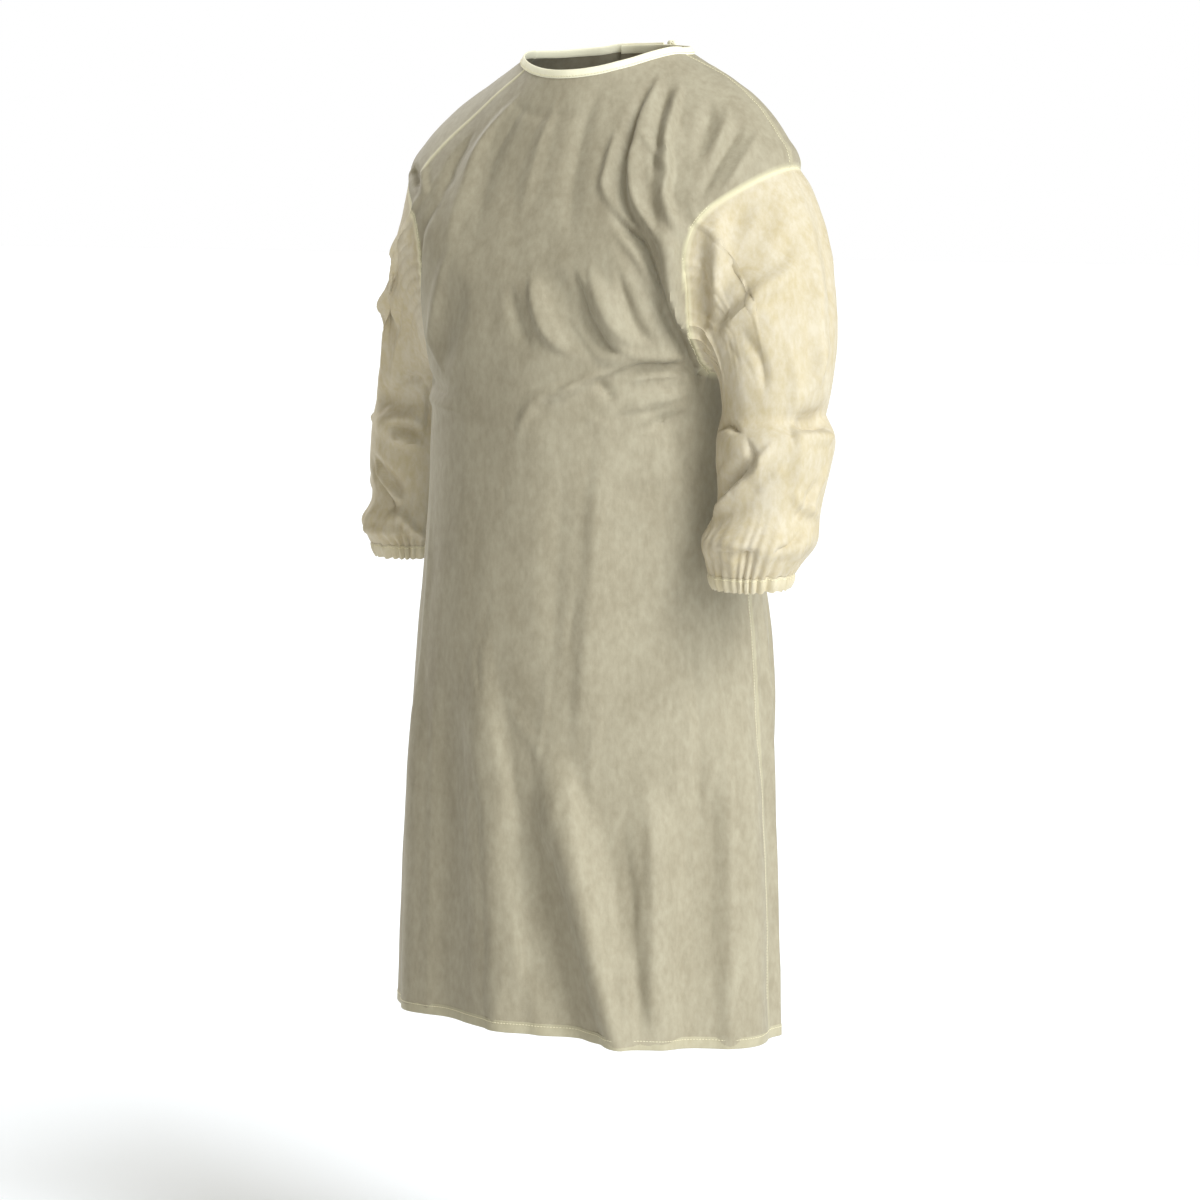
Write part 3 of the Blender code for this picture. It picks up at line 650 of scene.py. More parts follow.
# Round the body, 0 is the left side, 90 the back, 180 the right side and 270 the front.
LARGE_BODY_FOLDS = read_creases("""
front flute | 40 20 soft open_end | 282 -750, 302 -1090
front hollow | 38 -12 soft open_end | 272 -800, 290 -1090
middle flute | 36 10 soft open_end | 258 -620, 268 -1090
right front hollow | 40 -8 soft open_end | 244 -660, 248 -1090
right front flute | 40 10 soft open_end | 224 -680, 230 -1090
left front flute | 38 9 soft open_end | 314 -780, 313 -1090
left front hollow | 42 -10 soft open_end | 330 -740, 327 -1100
left side flute | 50 12 soft open_end | 350 -700, 348 -1100
left back hollow | 50 -12 soft open_end | 24 -660, 22 -1140
left back flute | 55 14 soft open_end | 56 -620, 52 -1140
right back flute | 55 13 soft open_end | 126 -620, 130 -1140
right back hollow | 50 -12 soft open_end | 158 -660, 160 -1140
shoulder ridge | 30 8 soft | 320 -50, 300 -170
armpit ridge | 30 8 soft | 306 -150, 332 -340
armpit trough | 30 -9 soft | 294 -180, 334 -360
chest ridge | 30 7 soft | 284 -240, 310 -360
chest trough | 28 -7 soft | 274 -230, 300 -340
waist crease | 24 -6 soft | 292 -358, 338 -348
right chest trough | 34 -7 soft | 250 -240, 232 -360
left blade fold | 36 9 soft | 62 -120, 34 -320
left blade trough | 34 -8 soft | 48 -160, 24 -340
right blade fold | 36 9 soft | 118 -120, 146 -320
right blade trough | 34 -8 soft | 132 -160, 156 -340
""")

FINE_BODY_CREASES = read_creases("""
# Drawn from the neck and the left shoulder down to the armpit.
neck ridge | 10 10 open_end lean=-0.2 fade=0.2 | 329 -18, 313 -57, 305 -98, 302 -129, 302 -170, 309 -209,
    318 -267, 336 -345
neck ridge's fork | 7 4.5 | 307 -86, 310 -110, 312 -136
shoulder ridge | 10 11 open_end lean=0.15 fade=0.2 | 334 -26, 316 -82, 312 -131, 310 -163, 314 -235,
    326 -306, 337 -346
first hollow | 11 -8.5 | 327 -34, 316 -70, 310 -110, 307 -140
neck hollow | 12 -6 | 322 -29, 309 -65, 302 -98, 297 -135
outer ridge | 10 5.5 lean=-0.2 | 299 -80, 294 -120, 292 -150, 297 -178
outer hollow | 8 -5.5 | 302 -112, 298 -142, 299 -172, 305 -205
long dark line | 10 -12.5 open_end lean=0.25 fade=0.22 | 292 -168, 299 -193, 303 -209, 313 -265, 321 -300,
    336 -352
lit lip | 9 8 | 301 -186, 311 -244, 321 -290, 334 -336
inner dark line | 8 -9 open_end fade=0.25 | 308 -165, 312 -205, 318 -250, 324 -290, 334 -330
seam ridge | 8 7 | 317 -150, 317 -200, 322 -252, 332 -312
patch's upper edge | 13 7.5 lean=-0.3 | 293 -186, 298 -208, 305 -236, 315 -276, 328 -325
patch's middle | 12 6 lean=-0.3 | 288 -226, 292 -262, 299 -300, 310 -325
patch's shade | 9 -5.5 | 296 -228, 300 -262, 307 -300, 318 -324
crescent's dark line | 10 -9 lean=0.2 | 283 -228, 287 -262, 291 -292, 300 -324, 312 -336
crescent's edge | 12 7 lean=-0.3 | 272 -236, 274 -272, 279 -308, 289 -334
crescent's outer shade | 12 -4 | 266 -250, 269 -290, 276 -330
shoulder dip one | 11 -5 | 338 -50, 326 -94, 320 -126
shoulder rise one | 9 4 | 344 -52, 331 -98, 322 -142
shoulder dip two | 10 -5.5 | 346 -70, 329 -116, 318 -170
shoulder rise two | 9 5 | 350 -82, 336 -120, 324 -166
waist ridge high | 8 4 | 292 -333, 303 -330, 317 -333, 334 -333
waist fork | 9 5.5 lean=0.3 | 282 -381, 294 -356, 306 -342
side shade | 20 -4.5 | 312 -376, 328 -424, 334 -500
dimple | 9 -7.4 | 297 -352, 306 -382
belt crease | 9 -6.5 lean=0.3 | 300 -356, 312 -342, 334 -343
belt lip | 10 5.4 | 304 -366, 316 -354, 334 -355
side pull high | 10 6 | 333 -372, 318 -380, 304 -394
side pull low | 11 -6 | 338 -392, 322 -404, 306 -426
belly's edge | 11 5.5 lean=-0.2 | 271 -428, 274 -402, 280 -379, 288 -370, 296 -362
flat crease high | 8 -2.5 | 302 -482, 325 -480
flat crease low | 9 2.8 | 299 -507, 321 -512
right tip's notch | 9 -8 lean=0.2 | 202 -124, 211 -134, 221 -152
right tip's tuck | 7 4.5 | 214 -118, 218 -138, 226 -160
right slope dip | 14 -3.5 | 228 -80, 229 -118, 233 -170
right slope rise | 15 3.5 | 243 -40, 237 -84, 237 -142
# Below the neck and over the chest's flat front.
neck streak one | 20 -3.5 | 296 -30, 285 -80, 281 -150, 283 -215
neck streak two | 18 3 | 270 -45, 266 -100, 265 -190
neck streak three | 20 -3 | 250 -40, 246 -110, 252 -205
neck streak four | 18 3.5 | 236 -60, 238 -130, 243 -230
neck sag | 10 -2.2 | 236 -52, 262 -70, 294 -62
right armpit ridge | 13 6 lean=0.2 | 226 -130, 214 -230, 204 -330
right armpit trough | 12 -6 | 234 -150, 222 -250, 206 -345
right chest ridge | 14 4 | 246 -200, 234 -290, 214 -360
right belt pull | 12 -5 | 244 -378, 222 -372, 200 -362
right belt lip | 12 4 | 250 -400, 226 -392, 202 -384
# The skirt's front.
waist drop | 30 5.6 lean=-0.35 | 299 -385, 301 -430, 299 -513, 298 -577, 296 -643, 294 -708, 292 -800
waist drop's shade | 24 -3 | 288 -440, 286 -560, 284 -700
flute crest | 17 6 open_end lean=0.25 | 288 -770, 293 -900, 298 -1010, 303 -1095
flute's dark side | 16 -5.3 open_end lean=-0.3 | 279 -830, 287 -938, 294 -1040, 298 -1095
middle pleat | 15 3.4 open_end lean=0.2 | 262 -700, 270 -840, 274 -1030
middle hollow | 15 -3 open_end | 256 -760, 262 -900, 264 -1090
light band | 14 3.7 open_end lean=-0.2 | 313 -800, 314 -920, 313 -1060
light band's shade | 12 -3.4 open_end | 305 -850, 308 -960, 309 -1090
fine line high | 6 -2.2 | 257 -660, 261 -712
fine line low | 6 2.6 | 268 -715, 284 -788
left drop | 15 -3 | 326 -560, 331 -720, 330 -900
left pleat | 16 3.7 open_end lean=0.2 | 338 -620, 341 -800, 339 -1095
right pleat | 15 3 open_end lean=-0.2 | 236 -700, 238 -860, 240 -1090
right front drop | 15 2.6 | 222 -480, 226 -640, 222 -820
right side pleat | 16 -5 open_end | 206 -560, 204 -760, 206 -1100
# The skirt's back and sides.
left side pleat | 17 7.5 open_end lean=0.2 | 12 -520, 9 -740, 8 -1110
left back pleat | 18 9 open_end lean=-0.2 | 36 -470, 33 -700, 30 -1130
left back shade | 17 -8 open_end | 45 -500, 43 -760, 42 -1130
left back gather | 13 8 | 60 -415, 58 -520, 62 -680
left seat gather | 14 -7 | 74 -415, 70 -560, 68 -800
right seat gather | 14 8 | 106 -415, 110 -540, 113 -780
right back gather | 13 -7 | 122 -415, 121 -520, 118 -640
right back pleat | 18 9 open_end lean=0.2 | 146 -480, 149 -720, 151 -1130
right back shade | 17 -8 open_end | 138 -560, 140 -800, 141 -1130
right side drop | 17 7 open_end lean=-0.2 | 170 -470, 172 -700, 171 -1110
right tie fold | 13 -6 | 103 -415, 106 -600, 108 -900
right seat fold | 24 8.5 open_end lean=0.3 | 119 -600, 122 -850, 120 -1130
right seat shade | 20 -6 open_end | 109 -720, 112 -900, 110 -1130
left seat fold | 22 7 open_end lean=-0.3 | 62 -640, 60 -860, 63 -1130
# The back above the ties.
right tie gather one | 10 6.5 | 101 -372, 103 -310, 105 -220
right tie gather two | 11 -6.5 | 113 -370, 111 -290, 114 -200
right tie gather three | 10 6 | 127 -368, 124 -310, 118 -235
left tie gather one | 10 6 | 67 -372, 69 -310, 68 -230
left tie gather two | 10 -5.5 | 55 -370, 57 -290, 54 -215
left blade ridge | 12 9 lean=0.2 | 66 -90, 52 -190, 30 -320
left blade line | 11 -8 | 56 -100, 42 -200, 22 -320
left waist pull | 11 7 | 30 -362, 48 -372, 70 -372
left waist pull low | 12 -4 | 26 -420, 46 -408, 72 -404
right blade ridge | 12 9 lean=-0.2 | 114 -80, 128 -190, 150 -325
right blade line | 11 -8 | 124 -110, 140 -210, 160 -320
right waist pull | 11 7 | 150 -360, 132 -370, 112 -370
right waist pull low | 12 -4 | 154 -418, 134 -408, 110 -404
back sag | 14 -4 | 66 -240, 88 -290, 114 -250
back sag lip | 15 4 | 62 -262, 88 -312, 118 -272
""")

# The right shoulder's seam allowance is turned to the front and sewn down, so its edge shows there. The
# left one is turned to the back.
SHOULDER_EDGES = (
    Crease("right shoulder's sewn edge", ((229, -0.018), (223, -0.042), (221, -0.057), (219, -0.075),
           (217, -0.092), (216, -0.106), (215, -0.122), (216, -0.142)), 0.0048, 1.0, span=Span.OPEN, bends=6),
    Crease("left shoulder's sewn edge", ((22, -0.014), (25, -0.040), (26, -0.062), (25, -0.084), (22, -0.104),
           (18, -0.122)), 0.0048, 1.0, span=Span.OPEN, bends=6),
)

BODY_RUMPLES = (
    Rumple(46, 11, -0.46, -0.98, (0.06, 0.20), (0.006, 0.012), 0.0018, 14),
    Rumple(30, 12, -0.06, -0.34, (0.03, 0.09), (0.005, 0.009), 0.0016, 50),
    Rumple(26, 13, -0.36, -0.50, (0.03, 0.07), (0.005, 0.009), 0.0015, 70),
)


@dataclass
class Body:
    """The gown's body: a surface that the front and the two backs are cut from."""

    sections: tuple[BodySection, ...] = BODY_SECTIONS
    large_folds: tuple[Crease, ...] = LARGE_BODY_FOLDS
    creases: tuple[Crease, ...] = FINE_BODY_CREASES
    rumples: tuple[Rumple, ...] = BODY_RUMPLES
    shoulder_edges: tuple[Crease, ...] = SHOULDER_EDGES
    swells: tuple[tuple[float, ...], ...] = ((0.075, 0.0022, 3.0, 4.0), (0.028, 0.0008, 2.0, 9.0))
    radius: float = 0.2
    around: int = 60
    armhole_columns: int = 6
    rounding: int = 3
    easing: int = 120
    easing_fade: float = 0.995
    armhole_x: float = 0.08  # past this and above armhole_z, the cloth may be near an armhole
    armhole_z: float = -0.45
    calm_reach: float = 0.012
    fine: int = 8  # fine columns to each of the coarse ones, and fine rows above the armpit
    skirt_fine: int = 5
    lap_columns: int = 3
    lap_fade: int = 3
    lap_lift: float = 0.0042
    cloth: float = 0.0011
    seam_band: float = 0.0045
    seam_depth: float = 0.0007
    seam_breadth: float = 0.0022
    pucker_pitch: float = 0.017
    pucker_height: float = 0.0006
    pucker_reach: float = 0.010
    side_seam: float = 0.2
    most_doubled: float = 0.8
    turned_edge: int = 5
    edge_doubled: float = 0.45
    stitch_gap: float = 0.0035
    armhole_stand: float = 0.0004
    fell: float = 0.0007

    @property
    def quarter(self) -> int:
        """Return the coarse columns in a quarter of the way round."""
        return self.around // 4

    def coarse_row(self, name: str) -> int:
        """Return the coarse row that a named section stands at."""
        place = [section.name for section in self.sections].index(name)
        return sum(section.rows for section in self.sections[:place])

    def fineness(self) -> list[int]:
        """Return the fine rows in each coarse row, for each section."""
        below = [section.name for section in self.sections].index("armpit")
        return [self.skirt_fine] * below + [self.fine] * (len(self.sections) - 1 - below)

    def fine_row(self, coarse: float) -> float:
        """Return the fine row of a coarse one."""
        armpit = self.coarse_row("armpit")
        if coarse <= armpit:
            return coarse * self.skirt_fine
        return armpit * self.skirt_fine + (coarse - armpit) * self.fine

    def columns(self, first: int, last: int) -> tuple[Grid, Grid]:
        """Return the fine columns between two coarse ones, counted on and counted round the body."""
        found = np.arange(first * self.fine, last * self.fine + 1)
        return found, found % (self.around * self.fine)

    def column_angles(self, steps: int, corner: float) -> Grid:
        """Return where each column stands, in radians, with steps columns to a coarse one."""
        column = np.arange(self.around * steps) / steps
        quarter = np.minimum((column // self.quarter).astype(int), 3)
        from_side = column - quarter * self.quarter
        from_side = np.where(quarter % 2 == 0, from_side, self.quarter - from_side)
        past = (from_side - self.armhole_columns) / (self.quarter - self.armhole_columns)
        near_side = corner * from_side / self.armhole_columns
        degrees = np.where(past <= 0, near_side, corner + (90 - corner) * past)
        start = np.array([0, 180, 180, 360])[quarter]
        return np.radians(np.where(quarter % 2 == 0, start + degrees, start - degrees))

    def ring_points(self, fineness: Sequence[int], steps: int) -> tuple[Grid, Grid]:
        """Lay out the bare rings.

        Args:
            fineness: The fine rows in each coarse row, for each section.
            steps: The fine columns in each coarse column.

        Returns:
            The points, and the angle of each in degrees.
        """
        table = np.array([section.numbers() for section in self.sections])
        rows = [section.rows for section in self.sections]
        points, degrees = [], []
        for ring in between_rings(table, rows, fineness):
            z_side, z_front, z_back, half_width, y_side, y_front, y_back, corner = ring
            angles = self.column_angles(steps, corner)
            sine = np.sin(angles)
            y_end = np.where(sine < 0, y_front, y_back)
            z_end = np.where(sine < 0, z_front, z_back)
            y = y_side + (y_end - y_side) * np.abs(sine)
            z = z_side + (z_end - z_side) * sine**2
            points.append(np.stack([half_width * np.cos(angles), y, z], axis=-1))
            degrees.append(np.degrees(angles))
        return np.array(points), np.array(degrees)

    def folded(self, points: Grid, degrees: Grid, creases: Sequence[Crease]) -> Grid:
        """Return points moved along their normals where creases run over them."""
        normals = grid_normals(points, True)
        lift = sum(crease.relief(degrees, points[..., 2], self.radius) for crease in creases)
        return points + normals * lift[..., None]

    def armhole_loop(self, side: int) -> list[tuple[int, int]]:
        """Return the coarse row and column of each point round an armhole."""
        low, high = self.coarse_row("armpit"), self.coarse_row("shoulder")
        reach = range(-self.armhole_columns, self.armhole_columns + 1)
        steps = [(high, offset) for offset in reach if offset >= 0]
        steps += [(row, self.armhole_columns) for row in range(high - 1, low, -1)]
        steps += [(low, offset) for offset in reversed(reach)]
        steps += [(row, -self.armhole_columns) for row in range(low + 1, high)]
        steps += [(high, offset) for offset in reach if offset < 0]
        seam = 0 if side > 0 else 2 * self.quarter
        return [(row, (seam + side * offset) % self.around) for row, offset in steps]

    def fine_loop(self, side: int) -> tuple[Grid, Grid]:
        """Return the fine rows and columns of the points round an armhole."""
        loop = self.armhole_loop(side)
        rows, columns = [], []
        for (row, column), (next_row, next_column) in zip(loop, loop[1:] + loop[:1]):
            over = (next_column - column + self.around / 2) % self.around - self.around / 2
            for step in range(self.fine):
                share = step / self.fine
                rows.append(round(self.fine_row(row + (next_row - row) * share)))
                columns.append(round((column + over * share) * self.fine) % (self.around * self.fine))
        return np.array(rows), np.array(columns)

    def coarse(self) -> Grid:
        """Return the coarse points with the large folds and the rounded armholes."""
        points, degrees = self.ring_points([1] * (len(self.sections) - 1), 1)
        points = self.folded(points, degrees, self.large_folds)
        for side in (1, -1):
            loop = tuple(np.transpose(self.armhole_loop(side)))
            for _ in range(self.rounding):
                edge = points[loop]
                points[loop] = (np.roll(edge, 1, axis=0) + 2 * edge + np.roll(edge, -1, axis=0)) / 4
        return points

    def in_armhole(self, rows: Grid, columns: Grid) -> Grid:
        """Return whether each fine cell lies in an armhole."""
        low = self.fine_row(self.coarse_row("armpit"))
        high = self.fine_row(self.coarse_row("shoulder"))
        half = 2 * self.quarter * self.fine
        from_seam = np.minimum(columns % half, half - 1 - columns % half)
        return (rows >= low) & (rows < high) & (from_seam < self.armhole_columns * self.fine)

    def build(self) -> None:
        """Work out the fine surface, with its creases, its rounded armholes and its seams."""
        coarse = self.coarse()
        points, degrees = self.ring_points(self.fineness(), self.fine)
        bare = self.eased(self.folded(points, degrees, self.large_folds), coarse)

        fine = list(self.creases)
        for rumple in self.rumples:
            fine += rumple.creases(self.radius)
        calm = self.calm_near_armholes(bare)
        creased = self.folded(bare, degrees, fine)
        lift = sum(uneven(bare, *swell) for swell in self.swells) + self.seam_puckers(bare)
        for edge in self.shoulder_edges:
            lift += self.fell * edge.relief(degrees, bare[..., 2], self.radius)
        points = bare + (creased - bare) * calm[..., None] + grid_normals(bare, True) * lift[..., None]
        self.degrees = degrees
        self.surface = Patch(points, grid_normals(points, True), self.seam_doubling(points))

    def eased(self, points: Grid, coarse: Grid) -> Grid:
        """Return points shifted so that each armhole's edge follows the rounded coarse one.

        Args:
            points: The fine points.
            coarse: The coarse points, with their armholes rounded.
        """
        shift = np.zeros_like(points)
        pinned = np.zeros(points.shape[:2], dtype=bool)
        for side in (1, -1):
            edge = round_loop(coarse[tuple(np.transpose(self.armhole_loop(side)))], self.fine)
            spots = self.fine_loop(side)
            shift[spots] = edge - points[spots]
            pinned[spots] = True
        held = shift.copy()
        for _ in range(self.easing):
            mean = (np.roll(shift, 1, axis=1) + np.roll(shift, -1, axis=1)) / 4
            mean[1:-1] += (shift[2:] + shift[:-2]) / 4
            shift = np.where(pinned[..., None], held, mean * self.easing_fade)
        return points + shift

    def near_armhole(self, points: Grid, edge: Grid, side: int) -> tuple[Grid, Grid]:
        """Return which points lie about an armhole, and how far each of them is from the edge's points."""
        near = (points[..., 0] * side > self.armhole_x) & (points[..., 2] > self.armhole_z)
        return near, np.min(np.linalg.norm(points[near][:, None] - edge[None], axis=2), axis=1)

    def calm_near_armholes(self, points: Grid) -> Grid:
        """Return the share of a crease's height that the cloth near an armhole takes."""
        calm = np.ones(points.shape[:2])
        for side in (1, -1):
            near, gap = self.near_armhole(points, points[self.fine_loop(side)][::4], side)
            calm[near] = 0.5 + 0.5 * smooth(gap / self.calm_reach)
        return calm

    def side_gap(self, points: Grid) -> Grid:
        """Return each point's distance along its row from the nearer side or shoulder seam."""
        step = np.linalg.norm(np.roll(points, -1, axis=1) - points, axis=2)
        run = np.concatenate([np.zeros((len(points), 1)), np.cumsum(step, axis=1)[:, :-1]], axis=1)
        whole = step.sum(axis=1)[:, None]
        half = 2 * self.quarter * self.fine
        from_right = np.abs(run - run[:, half][:, None])
        return np.minimum(np.minimum(run, whole - run), from_right)

    def seam_puckers(self, points: Grid) -> Grid:
        """Return the small uneven waves that a sewn seam draws the cloth into."""
        gap, z = self.side_gap(points), points[..., 2]
        waves = np.sin(z * 2 * math.pi / self.pucker_pitch + 2.2 * np.sin(z * 41))
        waves = waves * (0.6 + 0.4 * np.sin(z * 97))
        groove = self.seam_depth * np.exp(-((gap / self.seam_breadth) ** 2))
        return self.pucker_height * waves * np.exp(-gap / self.pucker_reach) - groove

    def seam_doubling(self, points: Grid) -> Grid:
        """Return how doubled the cloth is: over the seams' turned edges, the laps and the hem."""
        found = self.side_seam * (1 - smooth((self.side_gap(points) - self.seam_band + 0.0015) / 0.002))
        for side in (1, -1):
            edge = round_loop(points[self.fine_loop(side)], 3)
            near, gap = self.near_armhole(points, edge, side)
            found[near] = np.maximum(found[near], 1 - smooth((gap - 0.0015) / 0.0035))
        for edge in self.shoulder_edges:
            found = np.maximum(found, edge.relief(self.degrees, points[..., 2], self.radius) ** 0.5)
        return found * self.most_doubled

    def lap(self, columns: Grid) -> Grid:
        """Return how far the outer back stands off the surface at each fine column."""
        past = columns / self.fine - self.quarter - self.lap_columns
        return self.lap_lift * (1 - smooth(past / self.lap_fade))

    def sewn_lines(self, stand: float) -> list[tuple[Grid, bool]]:
        """Return the paths of the stitches beside the side, shoulder and armhole seams and the lap's edge.

        Args:
            stand: How far a stitch's middle lies off the cloth's own middle.
        """
        points, normals = self.surface.points, self.surface.normals
        half = 2 * self.quarter * self.fine
        low, high = (round(self.fine_row(self.coarse_row(name))) for name in ("armpit", "shoulder"))
        runs = (slice(4, low - 2), slice(high + 2, -1))
        found = [(rows, column, 0.0) for column in (-2 % (2 * half), half + 2, half - 2) for rows in runs]
        free = (self.quarter - self.lap_columns) * self.fine + self.turned_edge
        found.append((slice(4, -2), free, float(self.lap(np.array([free]))[0])))
        lines = [
            (points[rows, column] + normals[rows, column] * (stand + lift), False)
            for rows, column, lift in found
        ]
        for side in (1, -1):
            spots = self.fine_loop(side)
            edge, facing = points[spots], normals[spots]
            away = edge - edge.mean(axis=0)
            flat = away - facing * np.sum(away * facing, axis=1)[:, None]
            lines.append((edge + unit(flat) * self.stitch_gap + facing * (stand + self.armhole_stand), True))
        return lines

    def panel(self, name: str, first: int, last: int, material: Material, lapped: bool = False) -> Item:
        """Cut a panel from the surface.

        Args:
            name: The panel's name.
            first: The coarse column that it starts at.
            last: The coarse column that it ends at.
            material: Its finish.
            lapped: Whether it is the outer one at the centre back.

        Returns:
            The panel's object.
        """
        columns, around = self.columns(first, last)
        patch = self.surface.part(slice(None), around)
        if lapped:
            patch.points = patch.points + patch.normals * self.lap(columns)[None, :, None]
            patch.doubled[:, : self.turned_edge] = self.edge_doubled

        def keep(rows: Grid, cells: Grid) -> Grid:
            """Return whether each cell is cloth."""
            return ~self.in_armhole(rows, around[cells])

        return cloth_wall(name, patch, self.cloth, material, keep=keep)


# ---------------------------------------------------------------- sleeves


@dataclass(frozen=True)
class ArmSection(Section):
    """A ring round a sleeve below its armhole, in metres. x is measured out from the body's middle."""

    z: float
    x: float
    y: float
    half_width: float
    half_depth: float


LEFT_ARM = tuple(
    ArmSection(*row)
    for row in (
        ("upper", 2, -0.396, 0.256, -0.074, 0.054, 0.066),
        ("elbow", 2, -0.425, 0.264, -0.085, 0.063, 0.070),
        ("forearm", 2, -0.468, 0.262, -0.088, 0.059, 0.065),
        ("lower", 1, -0.503, 0.261, -0.096, 0.056, 0.061),
        ("puff", 2, -0.530, 0.259, -0.113, 0.062, 0.065),
        ("gather", 1, -0.550, 0.256, -0.117, 0.053, 0.055),
        ("wrist", 0, -0.566, 0.254, -0.120, 0.045, 0.047),
    )
)
RIGHT_ARM = tuple(
    ArmSection(*row)
    for row in (
        ("upper", 2, -0.402, 0.259, -0.004, 0.053, 0.060),
        ("elbow", 2, -0.430, 0.261, -0.006, 0.055, 0.062),
        ("forearm", 2, -0.480, 0.262, -0.012, 0.055, 0.060),
        ("lower", 1, -0.518, 0.261, -0.016, 0.051, 0.057),
        ("puff", 1, -0.544, 0.267, -0.022, 0.056, 0.060),
        ("gather", 1, -0.560, 0.265, -0.026, 0.051, 0.054),
        ("wrist", 0, -0.572, 0.263, -0.028, 0.045, 0.046),
    )
)

# Round a sleeve, 0 is the outer side, 90 the back, 180 the side by the body and 270 the front.
LEFT_SLEEVE_CREASES = read_creases("""
head's hollow | 27 -10 soft | 334 -140, 316 -184, 296 -232, 276 -262
head's edge | 10 8.5 lean=0.2 | 318 -150, 298 -192, 272 -250, 246 -300
seam's shade | 9 -12.5 | 300 -182, 282 -208, 260 -256, 228 -325
head's mid rise | 9 3.5 | 330 -160, 318 -188, 306 -214
notch | 14 -7 | 340 -190, 327 -226, 306 -252
overlap | 16 11.5 lean=0.35 | 342 -208, 323 -243, 293 -272, 266 -298, 242 -318
overlap's shade | 9 -9.5 | 318 -236, 290 -262, 262 -288, 238 -308
outer head rise | 14 3.5 | 357 -140, 352 -210, 348 -290
outer head dip | 14 -3.5 | 8 -150, 4 -220, 2 -300
middle dip | 10 -4.5 | 276 -300, 289 -329, 292 -372
middle long rise | 12 3.5 | 312 -300, 323 -350, 326 -440, 326 -510
inner corner | 9 -6 | 236 -326, 230 -350, 222 -380
outer middle | 12 5 | 358 -300, 346 -345, 330 -380
low outer rise | 11 5 | 320 -470, 340 -491, 20 -506
low outer dip | 9 -5 | 312 -540, 331 -530, 348 -510
elbow crease | 24 -6 soft | 296 -402, 40 -394
forearm trough | 22 -9 soft | 288 -436, 228 -490
forearm ridge | 20 6 soft | 308 -420, 232 -506
back crease | 26 -9 soft | 60 -300, 120 -360
back ridge | 28 8 soft | 70 -220, 100 -340
back elbow hollow | 22 -8 soft | 60 -430, 130 -440
outer drop | 12 5.6 | 352 -220, 346 -300, 350 -385
elbow line | 9 -10.5 lean=0.3 | 20 -404, 349 -402, 319 -400
elbow lip | 11 8.4 | 24 -418, 352 -416, 316 -412
inner elbow one | 8 -8.4 | 211 -412, 240 -402, 269 -411
inner elbow two | 9 -11.9 lean=0.3 | 269 -411, 280 -441, 256 -464, 232 -488
forearm line | 10 11.2 lean=-0.3 | 303 -413, 276 -449, 235 -497, 209 -528
forearm small | 8 4.9 | 312 -440, 296 -462, 280 -476
outer forearm | 11 -6.3 | 4 -452, 342 -486, 326 -516
outer forearm lip | 10 6.3 | 12 -440, 352 -478, 338 -512
puff crease | 9 -7 | 250 -534, 276 -540, 304 -536
back roll one | 11 8.4 | 70 -230, 92 -300, 128 -350
back roll two | 10 -8.4 | 96 -220, 118 -290, 150 -335
back elbow line | 10 -9.8 | 50 -402, 84 -412, 122 -404
back elbow lip | 10 7.7 | 48 -424, 84 -432, 126 -420
back forearm | 11 7.7 | 40 -450, 78 -486, 116 -520
back forearm shade | 10 -7 | 58 -452, 92 -484, 130 -512
under drop | 12 6.3 | 170 -360, 176 -430, 168 -500
""")
RIGHT_SLEEVE_CREASES = read_creases("""
upper drop | 11 -6 | 296 -200, 278 -262, 288 -320
upper drop's rise | 11 5.5 | 252 -270, 264 -335, 278 -385
elbow hollow | 24 -9 soft | 222 -400, 320 -398
elbow roll | 20 5 soft | 222 -432, 312 -428
forearm crease | 20 -8 soft | 322 -464, 240 -515
front ridge | 30 9 soft | 300 -180, 262 -320
front crease | 24 -5 soft | 322 -270, 246 -330
back crease | 26 -9 soft | 60 -300, 120 -360
back ridge | 28 8 soft | 70 -220, 100 -340
back elbow hollow | 22 -8 soft | 60 -450, 130 -455
elbow fold | 9 -8.4 | 268 -384, 246 -372, 223 -378
elbow line | 9 9.1 lean=0.3 | 275 -443, 250 -449, 222 -454
elbow shade | 9 -9.1 | 278 -428, 252 -432, 224 -436
inner elbow | 9 -6.5 | 226 -378, 222 -410, 225 -448
forearm ridge | 9 10.4 lean=-0.2 | 312 -466, 280 -496, 246 -524
forearm shade | 8 -9.7 | 308 -486, 276 -514, 244 -540
wrist ridge | 8 8.4 | 262 -524, 236 -546, 210 -566
puff roll | 10 5.9 | 320 -552, 268 -557, 213 -553
front line | 10 7.2 | 300 -200, 280 -270, 262 -340
front shade | 10 -6.5 | 316 -210, 298 -280, 276 -350
outer drop | 30 -8.5 soft | 352 -232, 330 -292, 322 -340, 330 -392
outer elbow | 10 -8.4 | 24 -410, 354 -404, 322 -412
outer elbow lip | 10 7.2 | 24 -428, 354 -422, 322 -430
outer forearm | 11 5.9 | 10 -460, 346 -492, 330 -520
back roll one | 11 7.8 | 70 -230, 92 -300, 128 -350
back roll two | 10 -7.8 | 96 -220, 118 -290, 150 -335
back elbow line | 10 -9.1 | 50 -412, 84 -420, 122 -412
back elbow lip | 10 7.2 | 48 -432, 84 -440, 126 -428
back forearm | 11 7.2 | 40 -460, 78 -494, 116 -526
back forearm shade | 10 -6.5 | 58 -462, 92 -492, 130 -518
under drop | 12 5.9 | 170 -360, 176 -430, 168 -500
""")


